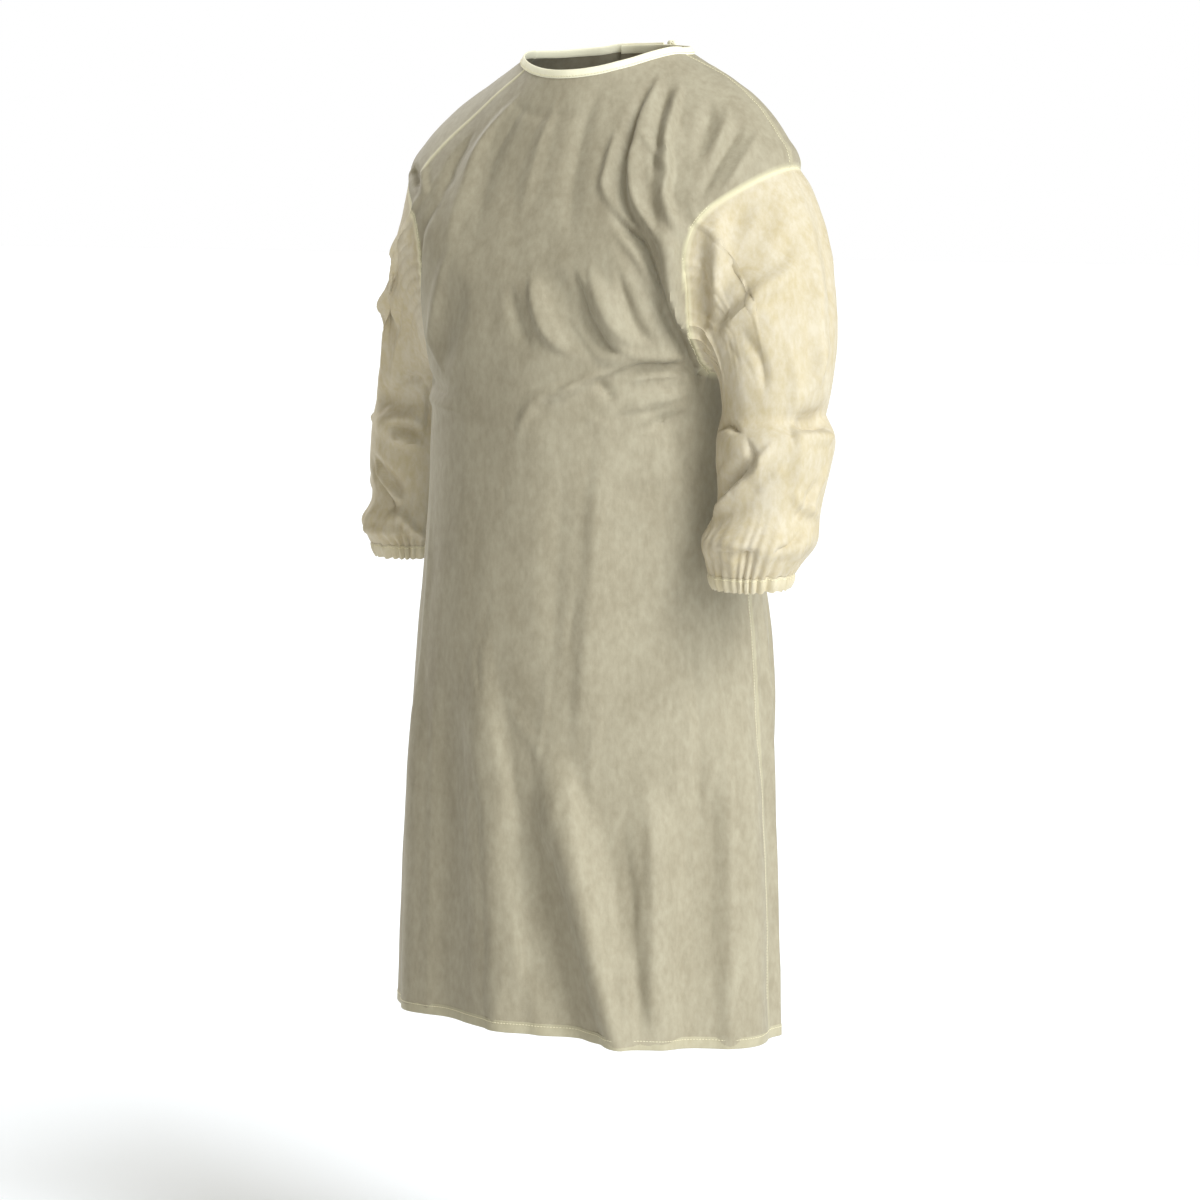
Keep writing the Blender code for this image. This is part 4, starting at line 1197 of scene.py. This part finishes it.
@dataclass
class Sleeve:
    """A sleeve that grows from its armhole, with the gathered cuff that hangs from it."""

    side: int
    sections: tuple[ArmSection, ...]
    creases: tuple[Crease, ...]
    swell: float
    seed: int
    radius: float = 0.06
    cap_rows: int = 7
    cap_crowding: float = 1.4
    underarm_swell: float = 0.6
    cap_leave: float = 0.8
    cap_arrive: float = 0.9
    cap_tuck: float = 0.8
    cap_fall: float = 0.06
    fine_rows: int = 7
    cloth: float = 0.0011
    seam_calm: float = 0.022
    swells: tuple[tuple[float, ...], ...] = ((0.05, 0.0020, 1.5, 20.0), (0.02, 0.0008, 1.2, 30.0))
    gathers: int = 27
    gather_depth: float = 0.0030
    gather_reach: float = 0.030
    cuff_height: float = 0.016
    cuff_taper: float = 0.005
    cuff_cloth: float = 0.0022
    surface: Patch = field(init=False)
    angles: Grid = field(init=False)

    @property
    def word(self) -> str:
        """Return which side the sleeve is on, in a word."""
        return "left" if self.side > 0 else "right"

    def ring(self, numbers: Grid) -> Grid:
        """Return the points of one ring round the arm."""
        z, x, y, half_width, half_depth = numbers
        out = self.side * (x + half_width * np.cos(self.angles))
        return np.stack([out, y + half_depth * np.sin(self.angles), np.full(len(self.angles), z)], axis=-1)

    def into_panel(self, coarse: Grid, loop: list[tuple[int, int]]) -> Grid:
        """Return, at each coarse point of the armhole, the direction back into the body's cloth."""
        centre = np.mean([coarse[spot] for spot in loop], axis=0)
        found = []
        for row, column in loop:
            here = coarse[row, column]
            steps = [(up, over) for up in (-1, 0, 1) for over in (-1, 0, 1)]
            about = [(row + up, (column + over) % coarse.shape[1]) for up, over in steps]
            near = [coarse[spot] for spot in about if spot not in loop]
            outer = [place for place in near if (place - here) @ (here - centre) > 0]
            found.append(np.mean(outer, axis=0) - here)
        return unit(np.array(found))

    def turns(self, body: Body, start: Grid) -> Grid:
        """Return the angle of each fine column, even along both halves of the armhole.

        Args:
            body: The body, already built.
            start: The armhole's coarse points, from the shoulder.
        """
        steps = np.linalg.norm(np.roll(start, -1, axis=0) - start, axis=1)
        side_y = next(section.y_side for section in body.sections if section.name == "armpit")
        armpit = int(np.argmin(start[:, 2] + np.abs(start[:, 1] - side_y)))
        run = np.concatenate([[0], np.cumsum(steps)])
        back = math.pi * run[: armpit + 1] / run[armpit]
        front = math.pi + math.pi * (run[armpit + 1 : -1] - run[armpit]) / (run[-1] - run[armpit])
        coarse = np.concatenate([back, front, [back[0] + 2 * math.pi]])
        return np.interp(np.arange(len(start) * body.fine) / body.fine, np.arange(len(start) + 1), coarse)

    def cap(self, edge: Grid, into: Grid, rings: Grid) -> list[Grid]:
        """Draw the sleeve's head out from the armhole to its first ring.

        Args:
            edge: The armhole's points.
            into: The direction back into the body's cloth at each of them.
            rings: The numbers of the rings below.

        Returns:
            The head's rows, from the armhole down.
        """
        first, second = self.ring(rings[0]), self.ring(rings[self.fine_rows])
        reach = np.linalg.norm(first - edge, axis=1, keepdims=True)
        sideways = np.array([self.side, 0, 0])
        outward = (self.swell + self.underarm_swell * (1 - np.cos(self.angles)))[:, None] * sideways
        leave = unit(outward - into) * reach * self.cap_leave
        tuck = self.cap_tuck * max(self.swell, 0) * np.clip(np.cos(self.angles), 0, 1)[:, None] * sideways
        arrive = unit(unit(second - first - (0, 0, self.cap_fall)) - tuck) * reach * self.cap_arrive
        total = self.cap_rows * self.fine_rows
        rows = []
        for u in (np.arange(total) / total) ** self.cap_crowding:
            bend = 3 * u**2 - 2 * u**3
            rows.append(
                edge * (1 - bend) + leave * (u**3 - 2 * u**2 + u) + first * bend + arrive * (u**3 - u**2)
            )
        return rows

    def build(self, body: Body) -> None:
        """Work out the sleeve's surface from the body's armhole.

        Args:
            body: The body, already built. Both sides of the seam come away with one normal.
        """
        coarse, loop, spots = body.coarse(), body.armhole_loop(self.side), body.fine_loop(self.side)
        self.angles = self.turns(body, np.array([coarse[spot] for spot in loop]))
        into = unit(round_loop(self.into_panel(coarse, loop), body.fine))
        table = np.array([section.numbers() for section in self.sections])
        coarse_rows = [section.rows for section in self.sections]
        rings = between_rings(table, coarse_rows, [self.fine_rows] * len(coarse_rows))
        head = self.cap(body.surface.points[spots], into, rings)
        bare = np.array(head + [self.ring(numbers) for numbers in rings])

        degrees = np.broadcast_to(np.degrees(self.angles), bare.shape[:2])
        rumple = Rumple(26, self.seed, -0.20, -0.50, (0.02, 0.06), (0.004, 0.008), 0.0018, 75)
        creases = [*self.creases, *rumple.creases(self.radius)]
        lift = sum(crease.relief(degrees, bare[..., 2], self.radius) for crease in creases)
        for *swell, place in self.swells:
            lift = lift + uneven(bare, *swell, place + self.seed)
        from_seam = np.linalg.norm(bare - bare[0], axis=2)
        lift = lift * smooth(from_seam / self.seam_calm) + self.gather_lift(bare)
        points = bare - self.side * grid_normals(bare, True) * lift[..., None]
        facing = -self.side * grid_normals(points, True)
        facing[0] = body.surface.normals[spots] = unit(facing[0] + body.surface.normals[spots])
        facing[-1] = unit(facing[-1] * (1, 1, 0))
        doubled = 0.8 * (1 - smooth((from_seam - 0.0020) / 0.0035))
        self.surface = Patch(points, facing, np.maximum(doubled, self.seam_line()))

    def seam_line(self) -> Grid:
        """Return how doubled the cloth is round the arm, over the seam that runs under it to the wrist."""
        off = np.radians(np.abs(turned(np.degrees(self.angles) - 180))) * 0.055
        return 0.5 * (1 - smooth((off - 0.004) / 0.003))

    @property
    def wave(self) -> Grid:
        """Return the gathers' uneven wave round the wrist, from -1 to 1."""
        angles = self.angles
        slip = 1.3 * np.sin(2 * angles + self.seed) + 0.8 * np.sin(5 * angles + 2 * self.seed)
        size = 0.6 + 0.4 * np.sin(3 * angles + self.seed) * np.sin(7 * angles)
        return np.sin(self.gathers * angles + 2.2 * slip) * size

    def gather_lift(self, points: Grid) -> Grid:
        """Return how far the gathers lift the sleeve's lowest part."""
        above = points[..., 2] - points[-1, 0, 2]
        fade = np.exp(-((above / self.gather_reach) ** 1.3))
        big = np.sin(self.gathers / 3 * self.angles + self.seed) * np.exp(-(((above - 0.022) / 0.016) ** 2))
        return self.wave * self.gather_depth * fade + 0.0022 * big

    def panel(self, material: Material) -> Item:
        """Make the sleeve's wall."""
        return cloth_wall(f"{self.word}_sleeve", self.surface, self.cloth, material, closed=True)

    def cuff_rows(self) -> tuple[Grid, Grid]:
        """Return the cuff's middle surface and its normals, from the seam down."""
        edge = self.surface.points[-1]
        out = unit((edge - edge.mean(axis=0)) * (1, 1, 0))
        calm = self.wave[:, None] * out * self.gather_depth
        gap = 0.0002
        rows = []
        for share in np.linspace(0, 1, 15):
            bulge = math.sin(math.pi * share)
            wide = out * (0.0012 * bulge - self.cuff_taper * share)
            drop = (0, 0, gap + share * (self.cuff_height - gap))
            rows.append(edge + calm * (0.25 * bulge - 0.15 * share) + wide - drop)
        points = np.array(rows)
        facing = -self.side * grid_normals(points, True)
        facing[0] = self.surface.normals[-1]
        return points, facing

    def cuff(self, material: Material) -> Item:
        """Make the gathered casing that holds the elastic."""
        points, facing = self.cuff_rows()
        patch = Patch(points, facing, np.full(points.shape[:2], 0.35))
        return cloth_wall(f"{self.word}_cuff", patch, self.cuff_cloth, material, closed=True)

    def cuff_seam(self) -> Grid:
        """Return the path of the stitches just above the cuff's seam."""
        points, facing = self.cuff_rows()
        return points[2] + facing[2] * 0.0013


# ---------------------------------------------------------------- binding and ties


@dataclass
class NeckBinding:
    """A folded tape round the neckline, whose two ends lap at the back as the panels do."""

    height: float = 0.010
    tape: float = 0.0026
    climb: float = 1.2
    wander: float = 0.0007

    def build(self, body: Body, material: Material) -> tuple[Item, Grid]:
        """Make the binding.

        Args:
            body: The body, already built.
            material: The tape's finish.

        Returns:
            The binding, and the points of the stitch line near its lower edge.
        """
        first = body.quarter - body.lap_columns
        columns, around = body.columns(first, first + body.around + 2 * body.lap_columns)
        facing = body.surface.normals[-1, around]
        lift = np.where(columns < 2 * body.quarter * body.fine, body.lap(columns), 0)[:, None]
        edge, below = (body.surface.points[row, around] + facing * lift for row in (-1, -4))
        rise = unit(unit(edge - below) + (0, 0, self.climb))
        wander = np.array([noise.noise(Vector(spot) * 38) for spot in edge])[:, None] * self.wander
        out = unit(np.cross(np.gradient(edge, axis=0), rise))
        out = out * np.sign(np.sum(out * facing, axis=1))[:, None]
        edge = edge + out * wander

        # The rolled outline, in shares of the height and of half the thickness.
        half = self.tape / 2
        side = [(0.0, 0.85), (0.04, 1.0), (0.30, 1.12), (0.60, 1.05), (0.85, 0.82), (0.97, 0.42)]
        outline = [*side, (1.0, 0.0), *((up, -over) for up, over in reversed(side))]
        section = np.array([edge + rise * self.height * up + out * half * over for up, over in outline])
        stitch_line = edge + rise * self.height * 0.20 + out * (half * 1.12 + 0.0003)
        return swept_strip("bound_neckline", section, material, 0.5), stitch_line


@dataclass
class Ties:
    """The tapes at the back of the neck and waist, with their knots and hanging tails."""

    tape: float = 0.0011
    width: float = 0.010
    length: float = 0.20
    stand: float = 0.0026
    steps: int = 72
    spread: float = 0.020
    start: float = 0.27
    reach: int = 14
    gather: float = 0.0006
    narrowing: float = 0.18
    crown: float = 0.0005
    sway: float = 0.0018
    knot_depth: float = 0.0105

    def edged(self, shares: Grid) -> Grid:
        """Return how doubled a tape is across its breadth, from -1 to 1, where its edges are folded."""
        return 0.35 + 0.4 * np.abs(shares) ** 6

    def strip(self, name: str, middle: Grid, across: Grid, out: Grid, material: Material) -> Item:
        """Make a flat folded tape.

        Args:
            name: The object's name.
            middle: Points along its middle.
            across: Half its breadth at each point.
            out: Its normal at each point.
            material: The tape's finish.

        Returns:
            The tape's object.
        """
        shares = np.linspace(-1, 1, 9)
        crown = self.crown * (1 - shares**2)
        points = middle[:, None] + across[:, None] * shares[:, None] + out[:, None] * crown[:, None]
        normals = np.repeat(out[:, None], len(shares), axis=1)
        doubled = np.broadcast_to(self.edged(shares), points.shape[:2])
        return cloth_wall(name, Patch(points, normals, doubled), self.tape, material)

    def waist_tie(self, body: Body, side: int, material: Material) -> Item:
        """Lay a tie over a back, from its side seam to the knot.

        Args:
            body: The body, already built.
            side: 1 for the left one, -1 for the right one.
            material: The tape's finish.

        Returns:
            The tie's object.
        """
        low, high = (round(body.fine_row(body.coarse_row(name))) for name in ("tie_low", "tie_high"))
        run = np.arange(self.reach * body.fine + 5)
        columns = run if side > 0 else 2 * body.quarter * body.fine - run
        run = run / body.fine
        edges = np.where(columns >= (body.quarter - body.lap_columns) * body.fine, body.lap(columns), 0)
        lift = edges + body.cloth / 2 + self.tape / 2 + 0.0006
        place = np.ix_(np.arange(low, high + 1), columns)
        normals = body.surface.normals[place]
        share = np.linspace(-1, 1, high + 1 - low)[:, None]
        # A pull along the tape draws it into lengthwise gathers near the knot.
        gathers = self.gather * np.cos(share * 7.0 + 0.6 * np.sin(run)) * smooth((run - 6) / 8)
        points = body.surface.points[place] + normals * (lift + gathers)[..., None]
        centre = points.mean(axis=0)[None]
        points = centre + (points - centre) * (1 - self.narrowing * smooth((run - 8) / 6)[:, None])
        patch = Patch(points, normals, np.broadcast_to(self.edged(share), points.shape[:2]))
        return cloth_wall(f"{'left' if side > 0 else 'right'}_waist_tie", patch, self.tape, material)

    def tail(
        self, body: Body, name: str, column: float, top: float, lean: float, curl: float, material: Material
    ) -> tuple[Item, Grid]:
        """Hang a tape from a knot, clear of the back that it lies over.

        Args:
            body: The body, already built.
            name: The object's name.
            column: The coarse column that it hangs over.
            top: The height that it starts at.
            lean: How far aside it has drifted at its end.
            curl: How far its end turns about its own length, in degrees.
            material: The tape's finish.

        Returns:
            The tail's object, and the points along its middle.
        """
        place = round(column * body.fine)
        line, smoothed = body.surface.points[:, place], body.surface.normals[:, place].copy()
        for _ in range(30):
            smoothed[1:-1] = (smoothed[:-2] + smoothed[2:]) / 2
        share = np.linspace(0, 1, self.steps + 1)
        order = np.argsort(line[:, 2])
        heights, known = top - share * self.length, line[order, 2]
        base, out = (
            np.stack([np.interp(heights, known, grid[order, axis]) for axis in range(3)], 1)
            for grid in (line, smoothed)
        )
        out = unit(out)
        aside = unit(np.cross((0, 0, 1), out))
        turn = np.radians(curl * share**2 + 9 * np.sin(share * 7 + lean * 90) * share)[:, None]
        across = aside * np.cos(turn) + out * np.sin(turn)
        flat = out * np.cos(turn) - aside * np.sin(turn)
        clear = self.stand + float(body.lap(np.array([place]))[0]) + np.abs(np.sin(turn)) * self.width / 2
        drift = lean * (self.start + (1 - self.start) * share)
        drift = drift + self.sway * np.sin(share * 9 + lean * 200) * share
        middle = base + out * clear + aside * drift[:, None]
        return self.strip(name, middle, across * self.width / 2, flat, material), middle

    def knot(self, name: str, node: str, out: Grid, material: Material) -> Item:
        """Make a flat knot from tape wound round itself, in the place of its node.

        Args:
            name: The object's name.
            node: The node whose place it takes.
            out: The direction away from the cloth.
            material: The tape's finish.

        Returns:
            The knot's object.
        """
        low, high = (np.array(corner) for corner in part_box(node))
        centre = (low + high) / 2
        out = unit(out * (1, 1, 0))
        across = np.cross((0, 0, 1), out)
        size = float(high[2] - low[2])
        width = size * 1.35
        work = bmesh.new()
        # Each run of tape over the knot: its tilt, its place across and up, its half sizes and its depth.
        runs = (
            (26, -0.05, 0.03, 0.46, 0.30, 0.40),
            (-30, 0.05, -0.03, 0.45, 0.29, 0.34),
            (80, 0.02, 0.00, 0.34, 0.24, 0.48),
        )
        for tilt, over, lift, long_half, wide_half, depth in runs:
            ring = bmesh.ops.create_uvsphere(work, u_segments=32, v_segments=20, radius=1.0)
            cosine, sine = math.cos(math.radians(tilt)), math.sin(math.radians(tilt))
            for vertex in ring["verts"]:
                # Squared off, so that each run reads as flat tape that is bent round the others.
                x, y, z = (math.copysign(abs(value) ** 0.72, value) for value in vertex.co)
                along = x * long_half * width
                wide = z * wide_half * size * (1 + 0.10 * math.sin(x * 5))
                deep = y * depth * self.knot_depth * (1 + 0.10 * math.cos(z * 9))
                up = np.array([0, 0, along * sine * 0.8 + wide * cosine + lift * size])
                sideways = along * cosine - wide * sine + over * width
                vertex.co = Vector(centre + across * sideways + up + out * deep)
        bmesh.ops.recalc_face_normals(work, faces=work.faces)
        mesh = bpy.data.meshes.new(name)
        work.to_mesh(mesh)
        work.free()
        mesh.materials.append(material)
        mesh.shade_smooth()
        mark_doubled(mesh, 0.4)
        return placed(name, mesh)


# ---------------------------------------------------------------- seams and stitches


@dataclass
class Stitching:
    """Straight stitches along the gown's sewn lines, laid by one Geometry Nodes tree."""

    pitch: float = 0.0036
    length: float = 0.0026
    thread: float = 0.00032

    def tree(self, material: Material) -> bpy.types.NodeTree:
        """Build the tree that sets a short thread at even steps along each curve.

        Args:
            material: The thread's finish.

        Returns:
            The tree, with the stitch's sizes as named inputs.
        """
        tree = bpy.data.node_groups.new("stitch_line", "GeometryNodeTree")
        face = tree.interface
        face.new_socket("Geometry", in_out="INPUT", socket_type="NodeSocketGeometry")
        for name in ("Pitch", "Length", "Thread"):
            face.new_socket(name, in_out="INPUT", socket_type="NodeSocketFloat")
        face.new_socket("Geometry", in_out="OUTPUT", socket_type="NodeSocketGeometry")
        entry = add_node(tree, "NodeGroupInput").outputs
        evened = add_node(
            tree, "GeometryNodeResampleCurve", {"mode": "LENGTH"},
            {"Curve": entry["Geometry"], "Length": entry["Pitch"]},
        )
        tangent = add_node(tree, "GeometryNodeInputTangent").outputs["Tangent"]
        aim = add_node(tree, "FunctionNodeAlignRotationToVector", {"axis": "Z"}, {"Vector": tangent})
        rod = add_node(
            tree, "GeometryNodeMeshCylinder", {"Vertices": 6},
            {"Radius": entry["Thread"], "Depth": entry["Length"]},
        )
        laid = add_node(
            tree, "GeometryNodeInstanceOnPoints", None,
            {"Points": evened.outputs["Curve"], "Instance": rod.outputs["Mesh"], "Rotation": aim.outputs[0]},
        )
        real = add_node(tree, "GeometryNodeRealizeInstances", None, {0: laid.outputs["Instances"]})
        dressed = add_node(
            tree, "GeometryNodeSetMaterial", {"Material": material}, {"Geometry": real.outputs[0]}
        )
        add_node(tree, "NodeGroupOutput", None, {"Geometry": dressed.outputs["Geometry"]})
        return tree

    def lay(self, name: str, paths: Sequence[tuple[Grid, bool]], material: Material) -> Item:
        """Sew along some paths.

        Args:
            name: The object's name.
            paths: For each path, its points and whether it closes.
            material: The thread's finish.

        Returns:
            One plain mesh with every stitch.
        """
        curve = bpy.data.curves.new(f"{name}_path", "CURVE")
        curve.dimensions = "3D"
        for points, closed in paths:
            spline = curve.splines.new("POLY")
            spline.points.add(len(points) - 1)
            for spot, place in zip(spline.points, points):
                spot.co = (*place, 1.0)
            spline.use_cyclic_u = closed
        path = placed(f"{name}_path", curve)
        modifier = path.modifiers.new("stitches", "NODES")
        modifier.node_group = self.tree(material)
        sizes = {"Pitch": self.pitch, "Length": self.length, "Thread": self.thread}
        for socket in modifier.node_group.interface.items_tree:
            if socket.name in sizes:
                modifier[socket.identifier] = sizes[socket.name]
        bpy.context.view_layer.update()
        mesh = bpy.data.meshes.new_from_object(path.evaluated_get(bpy.context.evaluated_depsgraph_get()))
        path.modifiers.remove(modifier)
        bpy.data.objects.remove(path)
        mesh.name = name
        mesh.shade_smooth()
        return placed(name, mesh)


@dataclass
class Hem:
    """The narrow fold along the lower edge of the body, with its line of stitches."""

    height: float = 0.013
    cloth: float = 0.0011
    stand: float = 0.00035
    stitch_drop: float = 0.003

    def strip(
        self, body: Body, name: str, first: int, last: int, material: Material, lapped: bool
    ) -> tuple[Item, Grid]:
        """Make the hem's fold on one panel.

        Args:
            body: The body, already built.
            name: The object's name.
            first: The coarse column that the panel starts at.
            last: The coarse column that it ends at.
            material: The cloth's finish.
            lapped: Whether the panel is the outer one at the centre back.

        Returns:
            The hem's object and its stitch line.
        """
        columns, around = body.columns(first, last)
        out = body.surface.normals[0, around]
        lift = out * body.lap(columns)[:, None] * lapped
        base, upper = (body.surface.points[row, around] + lift for row in (0, 2))
        up = unit(upper - base)
        half = self.cloth / 2 + self.stand
        side = [(-0.0003, 0.8), (0.0006, 1.0), (self.height - 0.0012, 1.0), (self.height, 0.8)]
        outline = [(-0.0006, 0.0), *side, *((rise, -over) for rise, over in reversed(side))]
        section = np.array([base + up * rise + out * half * over for rise, over in outline])
        stitch_line = base + up * (self.height - self.stitch_drop) + out * (half + 0.0002)
        return swept_strip(name, section, material, 0.2), stitch_line


# ---------------------------------------------------------------- studio


@dataclass
class Studio:
    """A pale floor, soft lights and the camera at the photograph's angle."""

    camera_turn: float = 31.0
    camera_reach: float = 3.6
    camera_height: float = -0.129
    focal_px: float = 3100.0
    frame_px: float = 1200.0
    shift_px: float = 9.0
    drop_px: float = 430.0
    floor_height: float = -1.52
    floor_half: float = 40.0
    sky_light: tuple[float, float, float, float] = (0.290, 0.270, 0.208, 1.0)

    def build(self, finish: FloorFinish) -> None:
        """Make the floor, the lights, the world and the camera."""
        self.floor(finish)
        self.lights()
        self.camera()

    def floor(self, finish: FloorFinish) -> None:
        """Lay the floor, far past what the camera sees."""
        mesh = bpy.data.meshes.new("studio_floor")
        half = self.floor_half
        corners = [(-half, -half), (half, -half), (half, half), (-half, half)]
        mesh.from_pydata([(x, y, self.floor_height) for x, y in corners], [], [(0, 1, 2, 3)])
        mesh.materials.append(finish.material())
        placed("studio_floor", mesh)

    def lamp(
        self,
        name: str,
        colour: tuple[float, float, float],
        turn: float,
        rise: float,
        strength: float,
        softness: float,
        shadow: bool = True,
    ) -> None:
        """Hang a wide soft light.

        Args:
            name: The light's name.
            colour: Its linear colour.
            turn: Where it stands round the gown, in degrees from the camera's side towards the left sleeve.
            rise: How high it stands, in degrees.
            strength: Its strength.
            softness: How wide it looks from the gown, in degrees.
            shadow: Whether it casts one. A reflector beside the sleeve fills its shadow without one.
        """
        data = bpy.data.lights.new(name, "SUN")
        data.energy = strength
        data.color = colour
        data.angle = math.radians(softness)
        data.use_shadow = shadow
        heading = math.radians(self.camera_turn + turn)
        flat = math.cos(math.radians(rise))
        toward = Vector((math.sin(heading) * flat, -math.cos(heading) * flat, math.sin(math.radians(rise))))
        placed(name, data).rotation_euler = toward.to_track_quat("Z", "Y").to_euler()

    def lights(self) -> None:
        """Hang the lights, most of them at the left sleeve's side, under a white sky."""
        self.lamp("key_light", (0.92, 0.96, 1.0), 38, 24, 1.9, 40)
        self.lamp("side_light", (0.82, 0.91, 1.0), 50, 14, 0.9, 30, shadow=False)
        self.lamp("top_light", (0.92, 0.96, 1.0), 46, 50, 2.3, 24)
        self.lamp("back_light", (1.0, 0.99, 0.96), 216, 24, 1.6, 12)
        world = bpy.data.worlds.new("studio_world")
        world.use_nodes = True
        tree = world.node_tree
        # The sky that the camera sees is white, and its light on the gown is weaker and a little warm.
        seen = add_node(tree, "ShaderNodeLightPath").outputs["Is Camera Ray"]
        white = (1.0, 1.0, 1.0, 1.0)
        sky = add_node(tree, "ShaderNodeMix", {"data_type": "RGBA", 6: self.sky_light, 7: white}, {0: seen})
        tree.links.new(sky.outputs[2], tree.nodes["Background"].inputs["Color"])
        bpy.context.scene.world = world
        bpy.context.scene.view_settings.view_transform = "Standard"

    def camera(self) -> None:
        """Stand the camera where the photograph was taken from."""
        turn = math.radians(self.camera_turn)
        data = bpy.data.cameras.new("camera")
        data.sensor_width = 36.0
        data.lens = self.focal_px / self.frame_px * data.sensor_width
        data.clip_end = 60.0
        made = placed("camera", data)
        across, ahead = math.sin(turn) * self.camera_reach, math.cos(turn) * self.camera_reach
        made.location = (across, -ahead, self.camera_height)
        heading = Vector((-math.sin(turn), math.cos(turn), 0))
        heading.rotate(Matrix.Rotation(math.atan(self.shift_px / self.focal_px), 3, "Z"))
        pitch = math.atan(self.drop_px / self.focal_px)
        aim = heading * math.cos(pitch) - Vector((0, 0, 1)) * math.sin(pitch)
        made.rotation_euler = aim.to_track_quat("-Z", "Y").to_euler()
        bpy.context.scene.camera = made


# ---------------------------------------------------------------- the gown


@dataclass
class Gown:
    """Every piece of the gown, dressed and tied to the frame."""

    body: Body = field(default_factory=Body)
    left: Sleeve = field(default_factory=lambda: Sleeve(1, LEFT_ARM, LEFT_SLEEVE_CREASES, 0.55, 3))
    right: Sleeve = field(default_factory=lambda: Sleeve(-1, RIGHT_ARM, RIGHT_SLEEVE_CREASES, -0.15, 5))
    binding: NeckBinding = field(default_factory=NeckBinding)
    ties: Ties = field(default_factory=Ties)
    hem: Hem = field(default_factory=Hem)
    stitching: Stitching = field(default_factory=Stitching)
    # The body and the sleeves are one cloth. The body's colours are darker and greyer than the sleeves':
    # painted shade of the dark hollow inside the body, seen through the thin cloth.
    body_finish: SpunbondFinish = SpunbondFinish(
        "spunbond_polypropylene_khaki_yellow", "#9E9680", "#8D846E", "#D2CBA7"
    )
    sleeve_finish: SpunbondFinish = SpunbondFinish(
        "spunbond_polypropylene_cream_yellow", "#C0B6A0", "#B2A483", "#D2C9AA"
    )
    tape_finish: SpunbondFinish = SpunbondFinish(
        "spunbond_tape_pale_cream", "#E4DFC4", "#DAD3B4", "#ECE7CE", 0.7
    )
    thread_finish: ThreadFinish = ThreadFinish("spun_polyester_thread", "#EAE2BE")

    def tie_to_frame(self, piece: Item, slot: str, *nodes: str) -> None:
        """Make a piece ride on the gown's one body and take its nodes' place."""
        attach(piece, BODY_NAME)
        if nodes:
            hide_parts(*nodes)
        LOG.info("%s: %d faces", piece.name, len(piece.data.polygons))

    def build(self) -> None:
        """Build the body, then what is sewn to it."""
        cloth = self.body_finish.material()
        arm_cloth = self.sleeve_finish.material()
        tape = self.tape_finish.material()
        thread = self.thread_finish.material()
        self.body.build()
        for sleeve in (self.left, self.right):
            sleeve.build(self.body)

        quarter, lap = self.body.quarter, self.body.lap_columns
        cuts = (
            ("front", "front_panel", 2 * quarter, 4 * quarter, False, (0.80, 1.12), 0.70),
            ("left_back", "back_panel_left", 0, quarter + lap, False, (0.50, 1.14), 0.42),
            ("right_back", "back_panel_right", quarter - lap, 2 * quarter, True, (0.50, 1.14), 0.42),
        )
        lines = self.body.sewn_lines(self.body.cloth / 2 + self.stitching.thread / 2)
        for name, node, first, last, lapped, flat, area in cuts:
            piece = self.body.panel(name, first, last, cloth, lapped)
            self.tie_to_frame(piece, "gown_cloth", node)
            fold, line = self.hem.strip(self.body, f"{name}_hem", first, last, cloth, lapped)
            self.tie_to_frame(fold, "gown_cloth")
            lines.append((line, False))

        for sleeve in (self.left, self.right):
            piece = sleeve.panel(arm_cloth)
            self.tie_to_frame(piece, "sleeve_cloth", f"sleeve_{sleeve.word}")
            cuff = sleeve.cuff(arm_cloth)
            self.tie_to_frame(cuff, "sleeve_cloth", f"cuff_{sleeve.word}")
            lines.append((sleeve.cuff_seam(), True))

        bound, neck_line = self.binding.build(self.body, tape)
        self.tie_to_frame(bound, "binding_tape", "neck_binding")
        lines.append((neck_line, False))
        self.tie_up(tape)
        sewn = self.stitching.lay("sewing_thread", lines, thread)
        self.tie_to_frame(sewn, "binding_tape")

    def tie_up(self, tape: Material) -> None:
        """Dress the ties, their knots and their tails."""
        body, quarter = self.body, self.body.quarter
        for side, word in ((1, "left"), (-1, "right")):
            tie = self.ties.waist_tie(body, side, tape)
            self.tie_to_frame(tie, "binding_tape", f"waist_tie_{word}")
        waist = round(body.fine_row(body.coarse_row("tie_low")))
        for word, column, row in (("neck", quarter - body.lap_columns - 1.6, -1), ("waist", quarter, waist)):
            out = body.surface.normals[row, round(column * body.fine)]
            knot = self.ties.knot(f"{word}_tie_knot", f"{word}_knot", out, tape)
            self.tie_to_frame(knot, "binding_tape", f"{word}_knot")
            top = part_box(f"{word}_knot")[0][2] + 0.002
            for side, curl, lean in (("left", 16, -self.ties.spread), ("right", -22, self.ties.spread)):
                tail, middle = self.ties.tail(body, f"{word}_tail_{side}_tape", column, top, lean, curl, tape)
                self.tie_to_frame(tail, "binding_tape", f"{word}_tail_{side}")


def main() -> None:
    """Load the frame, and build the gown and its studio."""
    logging.basicConfig(level=logging.INFO, format="%(name)s: %(message)s")
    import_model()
    gown = Gown()
    gown.build()
    Studio().build(FloorFinish())


if __name__ == "__main__":
    main()
